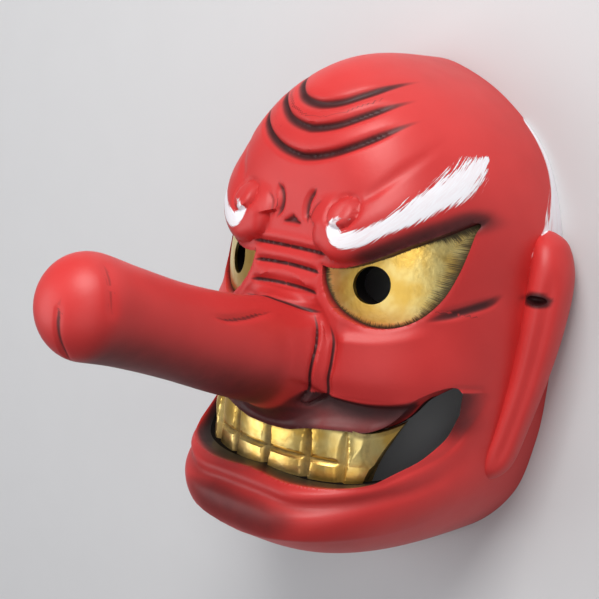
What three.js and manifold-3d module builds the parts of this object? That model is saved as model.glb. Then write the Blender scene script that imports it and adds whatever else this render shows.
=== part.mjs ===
// A carved tengu face mask in red lacquer, lying on the flat rim of its open back.
// +X points to the mask's own left, +Y to its crown and +Z out of the face. Millimetres.
import * as THREE from "three";
import { mergeVertices } from "three/addons/utils/BufferGeometryUtils.js";
import Module from "manifold-3d";

// Overall sizes
const faceHeight = 218.5;
const faceWidth = 156;
const faceDepth = 106;
const noseLength = 143;
const noseRadius = 24;

// Walls and holes
const sideWall = 8.5;
const frontWall = 14;
const pupilDiameter = 15.5;
const noseHollowDepth = 34;
const noseWall = 8;

// Carving
const foldDepth = 2.8;
const foldWidth = 5.2;
const wrinkleDepth = 1.8;
const wrinkleWidth = 3.6;
const wrinkleBow = 1.5;
const crowFootDepth = 2.6;
const crowFootWidth = 5.2;
const upperCrowFootWidth = 4;
const browRise = 4.8;
const browUnder = 8.2;
const browOver = { from: 3, to: 17 };
const curlRise = 3;
const lipStep = 4.6;
const lipStepReach = { from: 14, to: 26, fades: 60, ends: 68 };
const lipHeight = 16;
const lipGrooveDepth = 2.6;
const jawEdgeRise = 2.2;
const crestRise = 1.6;
const wingRise = 1.2;
const mouthDepth = 26;
const teethFront = 90;
const toothThickness = 9;
const toothLength = 12;
const toothCutWidth = 3.2;
const toothCutDepth = 2.4;
const earThickness = 17;
const earWidth = 24;

// The outlines below are drawn on a face of this size and scaled to the sizes above
const drawnHeight = 218.5;
const drawnWidth = 156;
const drawnDepth = 106;
const across = faceWidth / drawnWidth;
const along = faceHeight / drawnHeight;
const out = faceDepth / drawnDepth;

// Half outline of the back rim from crown to chin, and the middle line's height above it
const crownY = 100.5;
const chinY = -118;
const noseFootY = -30;
const rimOutline = [
  [0, crownY], [24, 94], [46, 80.5], [63, 63], [73, 40], [77.5, 5], [78, noseFootY],
  [75.5, -60], [67.5, -86], [43, -109.5], [0, chinY],
];
const middleProfile = [
  [-125, 108], [-107, 111], [-98, 113], [-88, 110.5], [-76, 101.5], [-66, 94.5], [-56, 92], [-45, 91.5],
  [-30, 92], [-8, 90], [15, 88], [32, 87], [55, 85], [68, 82.5], [80, 80], [98, 77], [112, 73],
];
// How square the dome is, by the angle in degrees away from the crown
const shoulder = [
  [0, 9], [15, 7], [35, 3.8], [60, 2.6], [90, 2.6], [115, 2.3], [140, 4.4], [160, 6], [180, 6.5],
];
const roundness = [
  [0, 3.6], [15, 3.2], [35, 2.4], [60, 2], [90, 2], [115, 2], [140, 2.6], [160, 3], [180, 3],
];
// Radius of the nose's foot, by the same angle
const noseFoot = [[0, 37], [45, 33.5], [75, 30.5], [110, 29.5], [140, 27], [180, 25]];
// The nose's middle line and radius: share of its length, Y, share of its rise, share of its radius
const noseLine = [
  [0, -32, 0, 1], [0.18, -27, 0.18, 0.94], [0.38, -20.5, 0.385, 0.845], [0.58, -12.5, 0.587, 0.775],
  [0.75, -5, 0.762, 0.783], [0.88, 0, 0.888, 0.825], [1, 3.5, 1, 0.817],
];
const noseRootZ = 66;
const noseTipRound = 20;
// Where the nose's own shaft begins, by the angle in radians, and the wings' reach in degrees
const noseStart = [[0, 0.36], [0.8, 0.3], [1.6, 0.27], [Math.PI, 0.25]];
const wingReach = { begins: 42, full: 56, falls: 104, ends: 116 };

// Carved lines on the mask's left half, mirrored to the right
const folds = [
  [[0, 75.6], [10, 77.4], [17, 81], [23, 85], [28, 88.6]],
  [[0, 65.9], [12, 68.2], [21, 72.6], [28, 77], [34, 81]],
  [[0, 54.3], [12, 56.4], [23, 61], [31, 66], [40, 73.4]],
];
const bridgeWrinkles = [[16.8, 14.5], [9.8, 14.5], [2.4, 14]];
const brow = [[21, 26], [27.5, 23.5], [36, 27], [45, 33], [55, 40.5], [63, 47.5]];
const curl = { x: 26.7, y: 35, radius: 5.8 };
const eyeOutline = [
  [18.6, 12.6], [20.2, 4.8], [24.9, -2.6], [31.9, -7.7], [39.8, -10], [48.1, -8.6], [55, -4.1],
  [59.7, 3.2], [62.5, 11.9], [64.2, 21.6], [64.8, 30.7], [64.3, 35.3], [61.5, 33.4], [57.3, 29.6],
  [49.8, 24.6], [40.8, 18.6], [30, 13.4], [23.3, 12.2],
];
const eyeball = { x: -3, y: 3, z: 5.3, radius: 83 };
const pupil = { x: 37, y: 7 };
const upperCrowFoot = [[61, 30], [64.5, 34.8], [67.2, 39.5]];
const crowFoot = [[56.5, -5.2], [61.3, -2.3], [66.1, 0.6], [69.4, 3.2], [72, 7.5]];
const cheekCrest = [[29, -17], [37, -16.5], [45, -15.6], [54, -13], [62, -8]];
const cheekEdge = [
  [24, -39], [34.9, -40.4], [43.2, -40.8], [52.7, -39.4], [60.5, -35.9], [66, -32.6], [70, -31],
];
const mouthOutline = [
  [0, -58], [12, -57.2], [22, -54.6], [36.7, -53.3], [43, -53.4], [48, -51], [52.5, -46.4],
  [57, -40], [61.5, -35.8], [66, -32.6], [69.5, -31.4], [71.4, -34.2], [71.6, -38.3], [70.2, -43.4],
  [67.3, -51], [62.5, -62], [57, -68], [52.5, -72], [44, -74.4], [32, -75.7], [20, -76.2], [0, -75.2],
];
const mouthTaper = 0.93;
const lipGroove = [
  [0, -83.3], [12, -83.4], [26.6, -83.8], [42.5, -81], [53.7, -77], [60.5, -73], [64.6, -66.5],
  [68.4, -54.6],
];
const jawEdge = [
  [0, -103], [15, -100.5], [27, -98.5], [38, -97], [48, -95.5], [55, -93.5], [61, -89.5],
  [66.6, -82.5], [70.3, -71],
];
// The teeth: half width of the row, the line between the rows and the places of the cuts
const teethHalfWidth = 50;
const teethTop = -46;
const teethBottom = -87;
const biteY = -68;
const toothCuts = [0, 20, 35, 44];
const teethFall = { over: 35, drop: 8.3, bendFrom: 38, bend: 8 };
// The ear's middle line from top to lobe: X, Y, Z, share of its width, share of its thickness
const earLine = [
  [74, 33, 10, 0.28, 0.5], [78.5, 27, 12.5, 0.75, 0.8], [81, 14, 14, 1, 1], [81, -6, 16, 0.98, 0.95],
  [79, -28, 18.5, 0.85, 0.85], [75, -50, 21, 0.75, 0.8], [70.5, -66, 22.5, 0.7, 0.85],
  [67.5, -75, 23.5, 0.45, 0.55],
];
const earHollow = { x: 78, y: 5.5, z: 24, across: 7, along: 3.2, deep: 8 };

// Smooth curve through [x, value, ...] rows, read at x
function through(rows, x, column = 1) {
  const last = rows.length - 1;
  const at = Math.min(Math.max(x, rows[0][0]), rows[last][0]);
  let i = 0;
  while (i < last - 1 && at > rows[i + 1][0]) i += 1;
  const slope = (k) => {
    const a = rows[Math.max(k - 1, 0)];
    const b = rows[Math.min(k + 1, last)];
    return (b[column] - a[column]) / (b[0] - a[0]);
  };
  const h = rows[i + 1][0] - rows[i][0];
  const t = (at - rows[i][0]) / h;
  const v0 = rows[i][column];
  const v1 = rows[i + 1][column];
  return (1 + 2 * t) * (1 - t) ** 2 * v0 + t * (1 - t) ** 2 * h * slope(i)
    + t * t * (3 - 2 * t) * v1 + t * t * (t - 1) * h * slope(i + 1);
}

// The same with level ends, for values that run on mirrored past both ends
function throughLevel(rows, x) {
  const last = rows.length - 1;
  const before = [2 * rows[0][0] - rows[1][0], rows[1][1]];
  const after = [2 * rows[last][0] - rows[last - 1][0], rows[last - 1][1]];
  return through([before, ...rows, after], Math.min(Math.max(x, rows[0][0]), rows[last][0]));
}

function ramp(from, to, x) {
  return THREE.MathUtils.smoothstep(x, from, to);
}

// Points spread evenly along a smooth path through the given [x, y] points
function path(points, count) {
  const curve = new THREE.CatmullRomCurve3(points.map(([x, y]) => new THREE.Vector3(x, y, 0)));
  return curve.getSpacedPoints(count).map((p) => [p.x, p.y]);
}

// Distance from a point to a path, positive on the path's left, and the place along it from 0 to 1
function near(samples, x, y) {
  let best = { distance: Infinity, place: 0 };
  for (let i = 0; i < samples.length - 1; i += 1) {
    const [ax, ay] = samples[i];
    const dx = samples[i + 1][0] - ax;
    const dy = samples[i + 1][1] - ay;
    const k = THREE.MathUtils.clamp(((x - ax) * dx + (y - ay) * dy) / (dx * dx + dy * dy), 0, 1);
    const ex = x - ax - k * dx;
    const ey = y - ay - k * dy;
    const distance = Math.hypot(ex, ey);
    if (distance < Math.abs(best.distance)) {
      const side = dx * ey - dy * ex < 0 ? -1 : 1;
      best = { distance: side * distance, place: (i + k) / (samples.length - 1) };
    }
  }
  return best;
}

const rimByAngle = rimOutline.map(([x, y]) => {
  const angle = Math.atan2(x, y - noseFootY);
  return [angle, Math.hypot(x, y - noseFootY)];
});
const browPath = path(brow, 24);
const cheekPath = path(cheekCrest, 16);
const edgePath = path(cheekEdge, 16);
const lipPath = path(lipGroove, 24);
const jawPath = path(jawEdge, 24);

// Height of the bare face over the rim's plane, less a wall for the hollow behind it
function domeHeight(x, y, side = 0, front = 0) {
  const angle = Math.abs(Math.atan2(x, y - noseFootY));
  const share = Math.min(Math.hypot(x, y - noseFootY) / (throughLevel(rimByAngle, angle) - side), 1);
  const degrees = THREE.MathUtils.radToDeg(angle);
  const p = throughLevel(shoulder, degrees);
  const q = throughLevel(roundness, degrees);
  return (through(middleProfile, y) - front) * (1 - share ** p) ** (1 / q);
}

// Raised and sunk carving over the bare face
function carving(x, y) {
  const side = Math.abs(x);
  const b = near(browPath, side, y);
  const rise = browRise * through([[0, 1.1], [0.15, 1.15], [0.5, 0.9], [0.8, 0.55], [1, 0.15]], b.place);
  const under = Math.max(1 - (Math.max(-b.distance, 0) / browUnder) ** 3, 0) ** 0.6;
  const over = 1 - ramp(browOver.from, browOver.to, b.distance);
  let height = rise * (b.distance < 0 ? under : over);
  const c = near(cheekPath, side, y);
  const cheek = ramp(0, 0.12, c.place) * (1 - ramp(0.7, 1, c.place));
  const crest = c.distance < 0 ? Math.exp(c.distance / 9) : Math.exp(-((c.distance / 3.2) ** 2));
  height += cheek * crestRise * crest;
  const e = near(edgePath, side, y);
  const { from, to, fades, ends } = lipStepReach;
  const beside = ramp(from, to, side) * (1 - ramp(fades, ends, side));
  if (y < noseFootY && y > teethTop - lipHeight) height -= lipStep * ramp(-0.2, 2.2, -e.distance) * beside;
  const l = near(lipPath, side, y);
  const lip = 1 - ramp(0.75, 1, l.place);
  const lipRoll = 0.4 * Math.exp(-(((l.distance - 5) / 3) ** 2));
  height -= lip * lipGrooveDepth * (Math.exp(-((l.distance / 3) ** 2)) - lipRoll);
  const j = near(jawPath, side, y);
  const jawFall = Math.exp(-Math.abs(j.distance) / (j.distance > 0 ? 7 : 2.4));
  height += jawEdgeRise * jawFall * (1 - ramp(0.8, 1, j.place));
  return height;
}

function faceHeightAt(x, y) {
  const angle = Math.abs(Math.atan2(x, y - noseFootY));
  const share = Math.hypot(x, y - noseFootY) / throughLevel(rimByAngle, angle);
  return domeHeight(x, y) + carving(x, y) * (1 - ramp(0.93, 1, share));
}

// A point on the nose, by the share of its length and the angle round it from the crown's side
function nosePoint(share, angle, inset = 0) {
  const rise = noseLength / out;
  const step = 0.001;
  const y = through(noseLine, share);
  const z = noseRootZ + rise * through(noseLine, share, 2);
  const dy = through(noseLine, share + step) - through(noseLine, share - step);
  const dz = rise * (through(noseLine, share + step, 2) - through(noseLine, share - step, 2));
  const length = Math.hypot(dy, dz);
  const blunt = Math.max((share - 1) * (rise / noseTipRound) + 1, 0);
  const closing = Math.sqrt(Math.max(1 - blunt ** 2.2, 0));
  const radius = (noseRadius * through(noseLine, share, 3) - inset) * closing;
  const up = radius * Math.cos(angle);
  const x = (radius * Math.sin(angle)) / across;
  return new THREE.Vector3(x, y + (up * dz) / length, z - (up * dy) / length);
}

// One closed body from rings of points, the first ring closed by a flat fan and the last by a point
function loft(rings, base, tip) {
  const corners = [];
  const triangle = (a, b, c) => corners.push(a, b, c);
  const first = rings[0];
  first.forEach((p, i) => triangle(base, first[(i + 1) % first.length], p));
  for (let k = 0; k < rings.length - 1; k += 1) {
    const low = rings[k];
    const high = rings[k + 1];
    const step = low.length / high.length;
    for (let i = 0; i < high.length; i += 1) {
      const a = high[i];
      const b = high[(i + 1) % high.length];
      const from = i * step;
      const half = Math.floor(step / 2);
      for (let j = 0; j < step; j += 1) {
        const corner = j < half ? a : b;
        if (j === half) triangle(low[from + j], b, a);
        triangle(low[from + j], low[(from + j + 1) % low.length], corner);
      }
    }
  }
  const end = rings[rings.length - 1];
  end.forEach((p, i) => triangle(p, end[(i + 1) % end.length], tip));
  return new THREE.BufferGeometry().setFromPoints(corners);
}

function ringOf(count, pointAt) {
  return Array.from({ length: count }, (_, i) => pointAt((-2 * Math.PI * i) / count));
}

function middleOf(ring) {
  return ring.reduce((total, p) => total.add(p), new THREE.Vector3()).divideScalar(ring.length);
}

// Outer body: rings run from the back rim over the face to the nose's foot and up the nose
function outerForm() {
  const around = 76;
  const faceRings = 22;
  const noseRings = 10;
  const rings = [];
  for (let k = 0; k <= faceRings; k += 1) {
    const inward = Math.sin(((1 - k / faceRings) * Math.PI) / 2);
    rings.push(ringOf(around, (angle) => {
      const foot = throughLevel(noseFoot, THREE.MathUtils.radToDeg(Math.abs(turn(angle))));
      const radius = foot + (throughLevel(rimByAngle, Math.abs(turn(angle))) - foot) * inward;
      const x = radius * Math.sin(angle);
      const y = noseFootY + radius * Math.cos(angle);
      return new THREE.Vector3(x, y, k === 0 ? 0 : faceHeightAt(x, y));
    }));
  }
  const foot = rings[faceRings];
  const start = (angle) => through(noseStart, Math.abs(turn(angle)));
  const [bendShare, , bendRise] = noseLine[2];
  const bendRows = [[noseRootZ, 0], [noseRootZ + (bendRise * noseLength) / out, bendShare]];
  // Rounded wings stand out where the nose meets the cheeks
  for (const share of [0.3, 0.7]) {
    rings.push(foot.filter((_, i) => i % 2 === 0).map((p, i) => {
      const angle = (-4 * Math.PI * i) / around;
      const bend = nosePoint(through(bendRows, p.z), angle);
      const end = nosePoint(start(angle), angle);
      const point = p.clone().multiplyScalar((1 - share) ** 2);
      point.addScaledVector(bend, 2 * share * (1 - share)).addScaledVector(end, share * share);
      const degrees = THREE.MathUtils.radToDeg(Math.abs(turn(angle)));
      const { begins, full, falls, ends } = wingReach;
      const wing = ramp(begins, full, degrees) * (1 - ramp(falls, ends, degrees));
      const away = new THREE.Vector3(Math.sin(angle), Math.cos(angle), 1).normalize();
      return point.addScaledVector(away, wing * wingRise);
    }));
  }
  for (let k = 0; k < noseRings; k += 1) {
    const rise = Math.sin(((k / noseRings) * Math.PI) / 2) ** 0.9;
    rings.push(ringOf(around / 2, (angle) => {
      const from = start(angle);
      return nosePoint(from + (1 - from) * rise, angle);
    }));
  }
  const tip = new THREE.Vector3(0, through(noseLine, 1), noseRootZ + noseLength / out);
  return loft(rings, new THREE.Vector3(0, noseFootY, 0), tip);
}

// An angle brought to the range from -180 to 180 degrees
function turn(angle) {
  return Math.atan2(Math.sin(angle), Math.cos(angle));
}

// The hollow behind the face, open at the back, running on into the root of the nose
function hollow() {
  const around = 36;
  const domeRings = 8;
  const rings = [];
  const below = -5;
  const edge = (angle) => throughLevel(rimByAngle, Math.abs(turn(angle))) - sideWall / across;
  const mouthOfNose = (noseRadius - noseWall) / across;
  rings.push(ringOf(around, (angle) => {
    const x = edge(angle) * Math.sin(angle);
    return new THREE.Vector3(x, noseFootY + edge(angle) * Math.cos(angle), below);
  }));
  for (let k = 0; k <= domeRings; k += 1) {
    const inward = Math.sin(((1 - k / domeRings) * Math.PI) / 2);
    rings.push(ringOf(around, (angle) => {
      const radius = mouthOfNose + (edge(angle) - mouthOfNose) * inward;
      const x = radius * Math.sin(angle);
      const y = noseFootY + radius * Math.cos(angle);
      return new THREE.Vector3(x, y, domeHeight(x, y, sideWall / across, frontWall / out));
    }));
  }
  const depth = noseHollowDepth / noseLength;
  const from = 0.1;
  for (const share of [0.45, 0.8]) {
    rings.push(ringOf(around / 2, (angle) => nosePoint(from + depth * share, angle, noseWall + 3 * share)));
  }
  const top = nosePoint(from + depth, 0, noseWall);
  const tip = top.add(nosePoint(from + depth, Math.PI, noseWall)).multiplyScalar(0.5);
  return loft(rings, new THREE.Vector3(0, noseFootY, below), tip);
}

// A sharp groove cut into the face along a path, running out at both ends
function groove(points, width, depth, mirror) {
  const stations = path(points, 8);
  const lift = 3;
  const rings = stations.map(([x, y], i) => {
    const [ax, ay] = stations[Math.max(i - 1, 0)];
    const [bx, by] = stations[Math.min(i + 1, stations.length - 1)];
    const length = Math.hypot(bx - ax, by - ay);
    const nx = -(by - ay) / length;
    const ny = (bx - ax) / length;
    const run = Math.sin(Math.PI * (0.06 + 0.9 * (i / (stations.length - 1)))) ** 0.7;
    const half = (width / 2) * run * (1 + lift / depth);
    const z = faceHeightAt(x, y);
    return [
      new THREE.Vector3(x + nx * half, y + ny * half, z + lift * run),
      new THREE.Vector3(x - nx * half, y - ny * half, z + lift * run),
      new THREE.Vector3(x, y, z - depth * run),
    ];
  });
  if (mirror) rings.forEach((ring) => ring.reverse().forEach((p) => p.setX(-p.x)));
  return loft(rings, middleOf(rings[0]), middleOf(rings.at(-1)));
}

// A straight-sided block over a closed outline, from one height to another
function prism(outline, low, high) {
  const shape = new THREE.Shape(outline.map(([x, y]) => new THREE.Vector2(x, y)));
  return new THREE.ExtrudeGeometry(shape, { depth: high - low, bevelEnabled: false }).translate(0, 0, low);
}

// The block that opens the mouth: its floor follows the face at some depth and draws in a little
function mouthBlock(outline, high) {
  const block = prism(outline, 0, high);
  const place = block.attributes.position;
  for (let i = 0; i < place.count; i += 1) {
    if (place.getZ(i) < 1) {
      const x = place.getX(i);
      const y = place.getY(i);
      place.setXYZ(i, x * mouthTaper, y, domeHeight(x, y) - mouthDepth);
    }
  }
  return block;
}

// The gilded band of teeth across the mouth, set back behind the lips
function teethBand() {
  const columns = 20;
  const rows = 4;
  const { over, drop, bendFrom, bend } = teethFall;
  const front = (x) => {
    const past = Math.max(Math.abs(x) - bendFrom, 0) / (teethHalfWidth - bendFrom);
    return teethFront / out - drop * (x / over) ** 2 - bend * past ** 2;
  };
  const rings = [];
  for (let i = 0; i <= columns; i += 1) {
    const x = teethHalfWidth * ((2 * i) / columns - 1);
    const ring = [];
    for (let j = 0; j <= rows; j += 1) {
      const y = teethTop + ((teethBottom - teethTop) * j) / rows;
      ring.push(new THREE.Vector3(x, y, front(x)));
    }
    for (let j = rows; j >= 0; j -= 1) {
      const y = teethTop + ((teethBottom - teethTop) * j) / rows;
      ring.push(new THREE.Vector3(x * 0.94, y, front(x) - toothThickness / out));
    }
    rings.push(ring);
  }
  return { body: loft(rings, middleOf(rings[0]), middleOf(rings.at(-1))), front };
}

// A pointed lens that cuts one upright line between two teeth
function toothCut(x, low, high, front) {
  const lens = new THREE.OctahedronGeometry(1, 0);
  lens.scale(toothCutWidth / 2, (high - low) / 2, toothCutDepth);
  return lens.translate(x, (low + high) / 2, front);
}

// An ear as a long flat loop beside the face, from its top to its lobe
function ear(side) {
  const sections = 10;
  const corners = 8;
  const rings = [];
  for (let i = 0; i <= sections; i += 1) {
    const place = (i / sections) * (earLine.length - 1);
    const rows = earLine.map((row, k) => [k, ...row]);
    const [x, y, z, wide, thick] = [1, 2, 3, 4, 5].map((column) => through(rows, place, column));
    rings.push(Array.from({ length: corners }, (_, k) => {
      const angle = (2 * Math.PI * k) / corners;
      const px = x + ((thick * earThickness) / 2 / across) * Math.cos(angle);
      const pz = z + ((wide * earWidth) / 2 / out) * Math.sin(angle);
      return new THREE.Vector3(side * px, y, pz);
    }));
  }
  if (side < 0) rings.reverse();
  return loft(rings, middleOf(rings[0]), middleOf(rings.at(-1)));
}

const wasm = await Module();
wasm.setup();

// Closed solid from a geometry drawn on the drawing's scale
function solid(geometry) {
  const bare = geometry.index ? geometry.toNonIndexed() : geometry.clone();
  bare.deleteAttribute("normal");
  bare.deleteAttribute("uv");
  bare.scale(across, along, out);
  const merged = mergeVertices(bare, 1e-4);
  const mesh = new wasm.Mesh({
    numProp: 3,
    vertProperties: new Float32Array(merged.attributes.position.array),
    triVerts: new Uint32Array(merged.index.array),
  });
  return new wasm.Manifold(mesh);
}

function carvedMask() {
  const teeth = teethBand();
  const wholeMouth = [...mouthOutline, ...mouthOutline.slice(1, -1).reverse().map(([x, y]) => [-x, y])];
  const high = drawnDepth * 1.3;
  let mask = solid(outerForm());
  mask = mask.add(solid(ear(1))).add(solid(ear(-1)));
  for (const side of [1, -1]) {
    const boss = new THREE.IcosahedronGeometry(1, 1).scale(curl.radius, curl.radius, curl.radius * 0.8);
    const top = faceHeightAt(curl.x, curl.y) + curlRise - curl.radius * 0.8;
    mask = mask.add(solid(boss.translate(side * curl.x, curl.y, top)));
    const slit = new THREE.IcosahedronGeometry(1, 1);
    slit.scale(earHollow.across, earHollow.along, earHollow.deep);
    mask = mask.subtract(solid(slit.translate(side * earHollow.x, earHollow.y, earHollow.z)));
  }
  for (const side of [1, -1]) {
    const outline = eyeOutline.map(([x, y]) => [side * x, y]);
    const socket = solid(prism(outline, frontWall * 2, high));
    const ball = new THREE.SphereGeometry(eyeball.radius, 44, 28);
    mask = mask.subtract(socket.subtract(solid(ball.translate(side * eyeball.x, eyeball.y, eyeball.z))));
    mask = mask.subtract(solid(groove(upperCrowFoot, upperCrowFootWidth, crowFootDepth, side < 0)));
    mask = mask.subtract(solid(groove(crowFoot, crowFootWidth, crowFootDepth, side < 0)));
  }
  for (const half of folds) {
    const whole = [...half.slice(1).reverse().map(([x, y]) => [-x, y]), ...half];
    mask = mask.subtract(solid(groove(whole, foldWidth, foldDepth)));
  }
  for (const [y, half] of bridgeWrinkles) {
    const line = [[-half, y - wrinkleBow], [0, y], [half, y - wrinkleBow]];
    mask = mask.subtract(solid(groove(line, wrinkleWidth, wrinkleDepth)));
  }
  let band = solid(teeth.body);
  for (const x of new Set(toothCuts.flatMap((place) => [place, -place]))) {
    const upper = toothCut(x, biteY, biteY + toothLength, teeth.front(x));
    const lower = toothCut(x, biteY - toothLength, biteY, teeth.front(x));
    band = band.subtract(solid(upper)).subtract(solid(lower));
  }
  mask = mask.subtract(solid(mouthBlock(wholeMouth, high)));
  mask = mask.subtract(solid(hollow()));
  mask = mask.add(band);
  for (const side of [1, -1]) {
    const hole = new THREE.CylinderGeometry(pupilDiameter / 2, pupilDiameter / 2, high, 32);
    hole.rotateX(Math.PI / 2).scale(1 / across, 1 / along, 1);
    hole.translate(side * pupil.x, pupil.y, high / 2 + frontWall * 2);
    mask = mask.subtract(solid(hole));
  }
  return mask;
}

function geometryOf(manifold) {
  const mesh = manifold.getMesh();
  const geometry = new THREE.BufferGeometry();
  geometry.setAttribute("position", new THREE.BufferAttribute(mesh.vertProperties, 3));
  geometry.setIndex(new THREE.BufferAttribute(mesh.triVerts, 1));
  geometry.computeVertexNormals();
  return geometry;
}

const redLacquer = new THREE.MeshStandardMaterial({ color: 0xc23a35, roughness: 0.45, metalness: 0 });
const mask = new THREE.Mesh(geometryOf(carvedMask()), redLacquer);
mask.name = "mask";
// The middle of the back rim is the origin
mask.position.y = (-(crownY + chinY) / 2) * along;

const tenguMask = new THREE.Group();
tenguMask.add(mask);

export default tenguMask;
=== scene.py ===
import bpy
import numpy as np
from mathutils import Matrix, Vector


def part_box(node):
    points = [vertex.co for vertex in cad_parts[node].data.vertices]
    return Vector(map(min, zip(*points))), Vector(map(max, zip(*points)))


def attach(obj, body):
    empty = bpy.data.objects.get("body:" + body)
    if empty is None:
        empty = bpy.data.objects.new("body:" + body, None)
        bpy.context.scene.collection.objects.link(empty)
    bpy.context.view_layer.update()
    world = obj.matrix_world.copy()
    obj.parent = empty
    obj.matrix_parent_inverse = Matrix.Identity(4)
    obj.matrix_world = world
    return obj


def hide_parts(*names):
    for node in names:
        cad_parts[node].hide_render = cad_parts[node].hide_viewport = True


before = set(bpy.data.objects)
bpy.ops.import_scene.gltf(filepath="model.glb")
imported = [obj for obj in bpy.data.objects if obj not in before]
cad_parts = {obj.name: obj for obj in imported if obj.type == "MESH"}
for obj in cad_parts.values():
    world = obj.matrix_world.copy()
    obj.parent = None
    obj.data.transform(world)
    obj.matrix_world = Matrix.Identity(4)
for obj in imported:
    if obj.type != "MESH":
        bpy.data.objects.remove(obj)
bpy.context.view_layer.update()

bl_info = {
    "name": "Tengu mask",
    "version": (1, 0, 0),
    "blender": (4, 5, 0),
    "location": "3D View > Sidebar > Mask",
    "description": "A carved tengu mask in red lacquer with gilded eyes and teeth, and its stage",
    "category": "Add Mesh",
}

CAD_LOW, CAD_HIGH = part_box("mask")

# The shapes below are drawn in millimetres: X to the mask's left, Y to the crown and Z out of the face,
# with the rim of the back at Z 0. They are scaled to the sizes in the panel.
DRAWN_HEIGHT = 218.5
DRAWN_WIDTH = 156
DRAWN_DEPTH = 106
CROWN_Y = 100.5
CHIN_Y = -118
NOSE_Y = -30

# Half outline of the rim, and the middle line's height over it
RIM = [
    (0, CROWN_Y), (24, 94), (46, 80.5), (63, 63), (73, 40), (77.5, 5), (78, NOSE_Y),
    (75.5, -60), (67.5, -86), (43, -109.5), (0, CHIN_Y),
]
MIDDLE = [
    (-125, 108), (-107, 111), (-98, 113), (-88, 110.5), (-76, 101.5), (-66, 94.5), (-56, 92), (-45, 91.5),
    (-30, 92), (-8, 90), (15, 88), (32, 87), (55, 85), (68, 82.5), (80, 80), (98, 77), (112, 73),
]
# How square the dome is and the radius of the nose's foot, by the angle in degrees from the crown
SHOULDER = [
    (0, 9), (15, 7), (35, 3.8), (60, 2.6), (90, 2.6), (115, 2.3), (140, 4.4), (160, 6), (180, 6.5),
]
ROUNDNESS = [
    (0, 3.6), (15, 3.2), (35, 2.4), (60, 2), (90, 2), (115, 2), (140, 2.6), (160, 3), (180, 3),
]
NOSE_FOOT = [(0, 37), (45, 33.5), (75, 30.5), (110, 29.5), (140, 27), (180, 25)]
# The nose's middle line: share of its length, Y, share of its rise, share of its radius
NOSE_LINE = [
    (0, -32, 0, 1), (0.18, -27, 0.18, 0.94), (0.38, -20.5, 0.385, 0.845), (0.58, -12.5, 0.587, 0.775),
    (0.75, -5, 0.762, 0.783), (0.88, 0, 0.888, 0.825), (1, 3.5, 1, 0.817),
]
NOSE_ROOT_Z = 66
NOSE_TIP_ROUND = 20
# Where the walls of its hollow lie: from and to this height, within this distance from its middle line
NOSE_INSIDE = (60, 118, 17.5)
NOSE_START = [(0, 0.36), (0.8, 0.3), (1.6, 0.27), (np.pi, 0.25)]

# Carved lines on the left half, mirrored to the right
FOLDS = [
    [(-8, 77), (0, 75.6), (10, 77.4), (17, 81), (23, 85), (28, 88.6)],
    [(-8, 67), (0, 65.9), (12, 68.2), (21, 72.6), (28, 77), (34, 81)],
    [(-8, 55.3), (0, 54.3), (12, 56.4), (23, 61), (31, 66), (40, 73.4)],
]
FOLD_SHARES = (0.9, 1, 1.1)
# Wrinkles over the bridge: height at the middle, half length, fall towards the ends
BRIDGE_WRINKLES = [(17.4, 20.5, 0.4), (10.1, 18.5, 1.0), (1.8, 19, 1.1)]
WRINKLE_DEPTH = 1.7
BRIDGE_FOOT, BRIDGE_TOP = 70, 112
FROWN = [
    [(11, 43), (8.1, 39.1), (6.9, 35.3), (7.4, 31.2), (9, 27.5)],
    [(15.5, 39), (11.6, 35.2), (10.8, 30.5), (12, 26.5)],
]
BROW = [(21, 26), (27.5, 23.5), (36, 27), (45, 33), (55, 40.5), (63, 47.5)]
BROW_RISE = [(0, 1.1), (0.15, 1.15), (0.5, 0.95), (0.8, 0.6), (1, 0.2)]
BROW_CREASE = [(31, 38), (39.6, 48.5), (47.1, 60.6), (51.3, 74)]
BROW_STROKE = [
    (31, 33.2, 89), (26.9, 32.3, 90.1), (25, 30.1, 91), (25.6, 27.2, 91.5), (28.5, 24.5, 91.3),
    (32.8, 24.9, 89.7), (37.3, 26.7, 87.3), (42.4, 30.5, 83.2), (49.1, 36.4, 75.7), (54.8, 44.2, 65),
    (58.3, 50.6, 54.1), (59.3, 55.7, 46.6), (59.3, 60.5, 39.6),
]
BROW_STROKE_WIDTH = [
    (0, 0.9), (0.06, 2.2), (0.12, 3.2), (0.2, 3.9), (0.28, 3.7), (0.38, 3.4), (0.5, 4.6), (0.65, 6),
    (0.8, 6.8), (0.92, 5), (1, 1.5),
]
CURL_X, CURL_Y, CURL_RADIUS, CURL_RISE = 26.7, 35, 5.8, 3
NOTCH_Y, NOTCH_HALF, NOTCH_DEPTH = 26.8, 5.6, 1.8
EYE_OUTLINE = [
    (18.6, 12.6), (20.2, 4.8), (24.9, -2.6), (31.9, -7.7), (39.8, -10), (48.1, -8.6), (55, -4.1),
    (59.7, 3.2), (62.5, 11.9), (64.2, 21.6), (64.8, 30.7), (64.3, 35.3), (61.5, 33.4), (57.3, 29.6),
    (49.8, 24.6), (40.8, 18.6), (30, 13.4), (23.3, 12.2), (18.6, 12.6),
]
EYE_MIDDLE = (38, 7)
# The eyeball's centre and radius
EYEBALL = (-3, 3, 5.3, 83)
SOCKET_GAP, SHELL_WALL = 1.5, 1.8
PUPIL = (37, 7)
# The holes are square to the eyeball, so they are narrower across than along
PUPIL_NARROW = 0.86
UPPER_CROW_FOOT = [(61, 30), (64.5, 34.8), (67.2, 39.5)]
CROW_FOOT = [(56.5, -5.2), (61.3, -2.3), (66.1, 0.6), (69.4, 3.2), (72, 7.5)]
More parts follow.
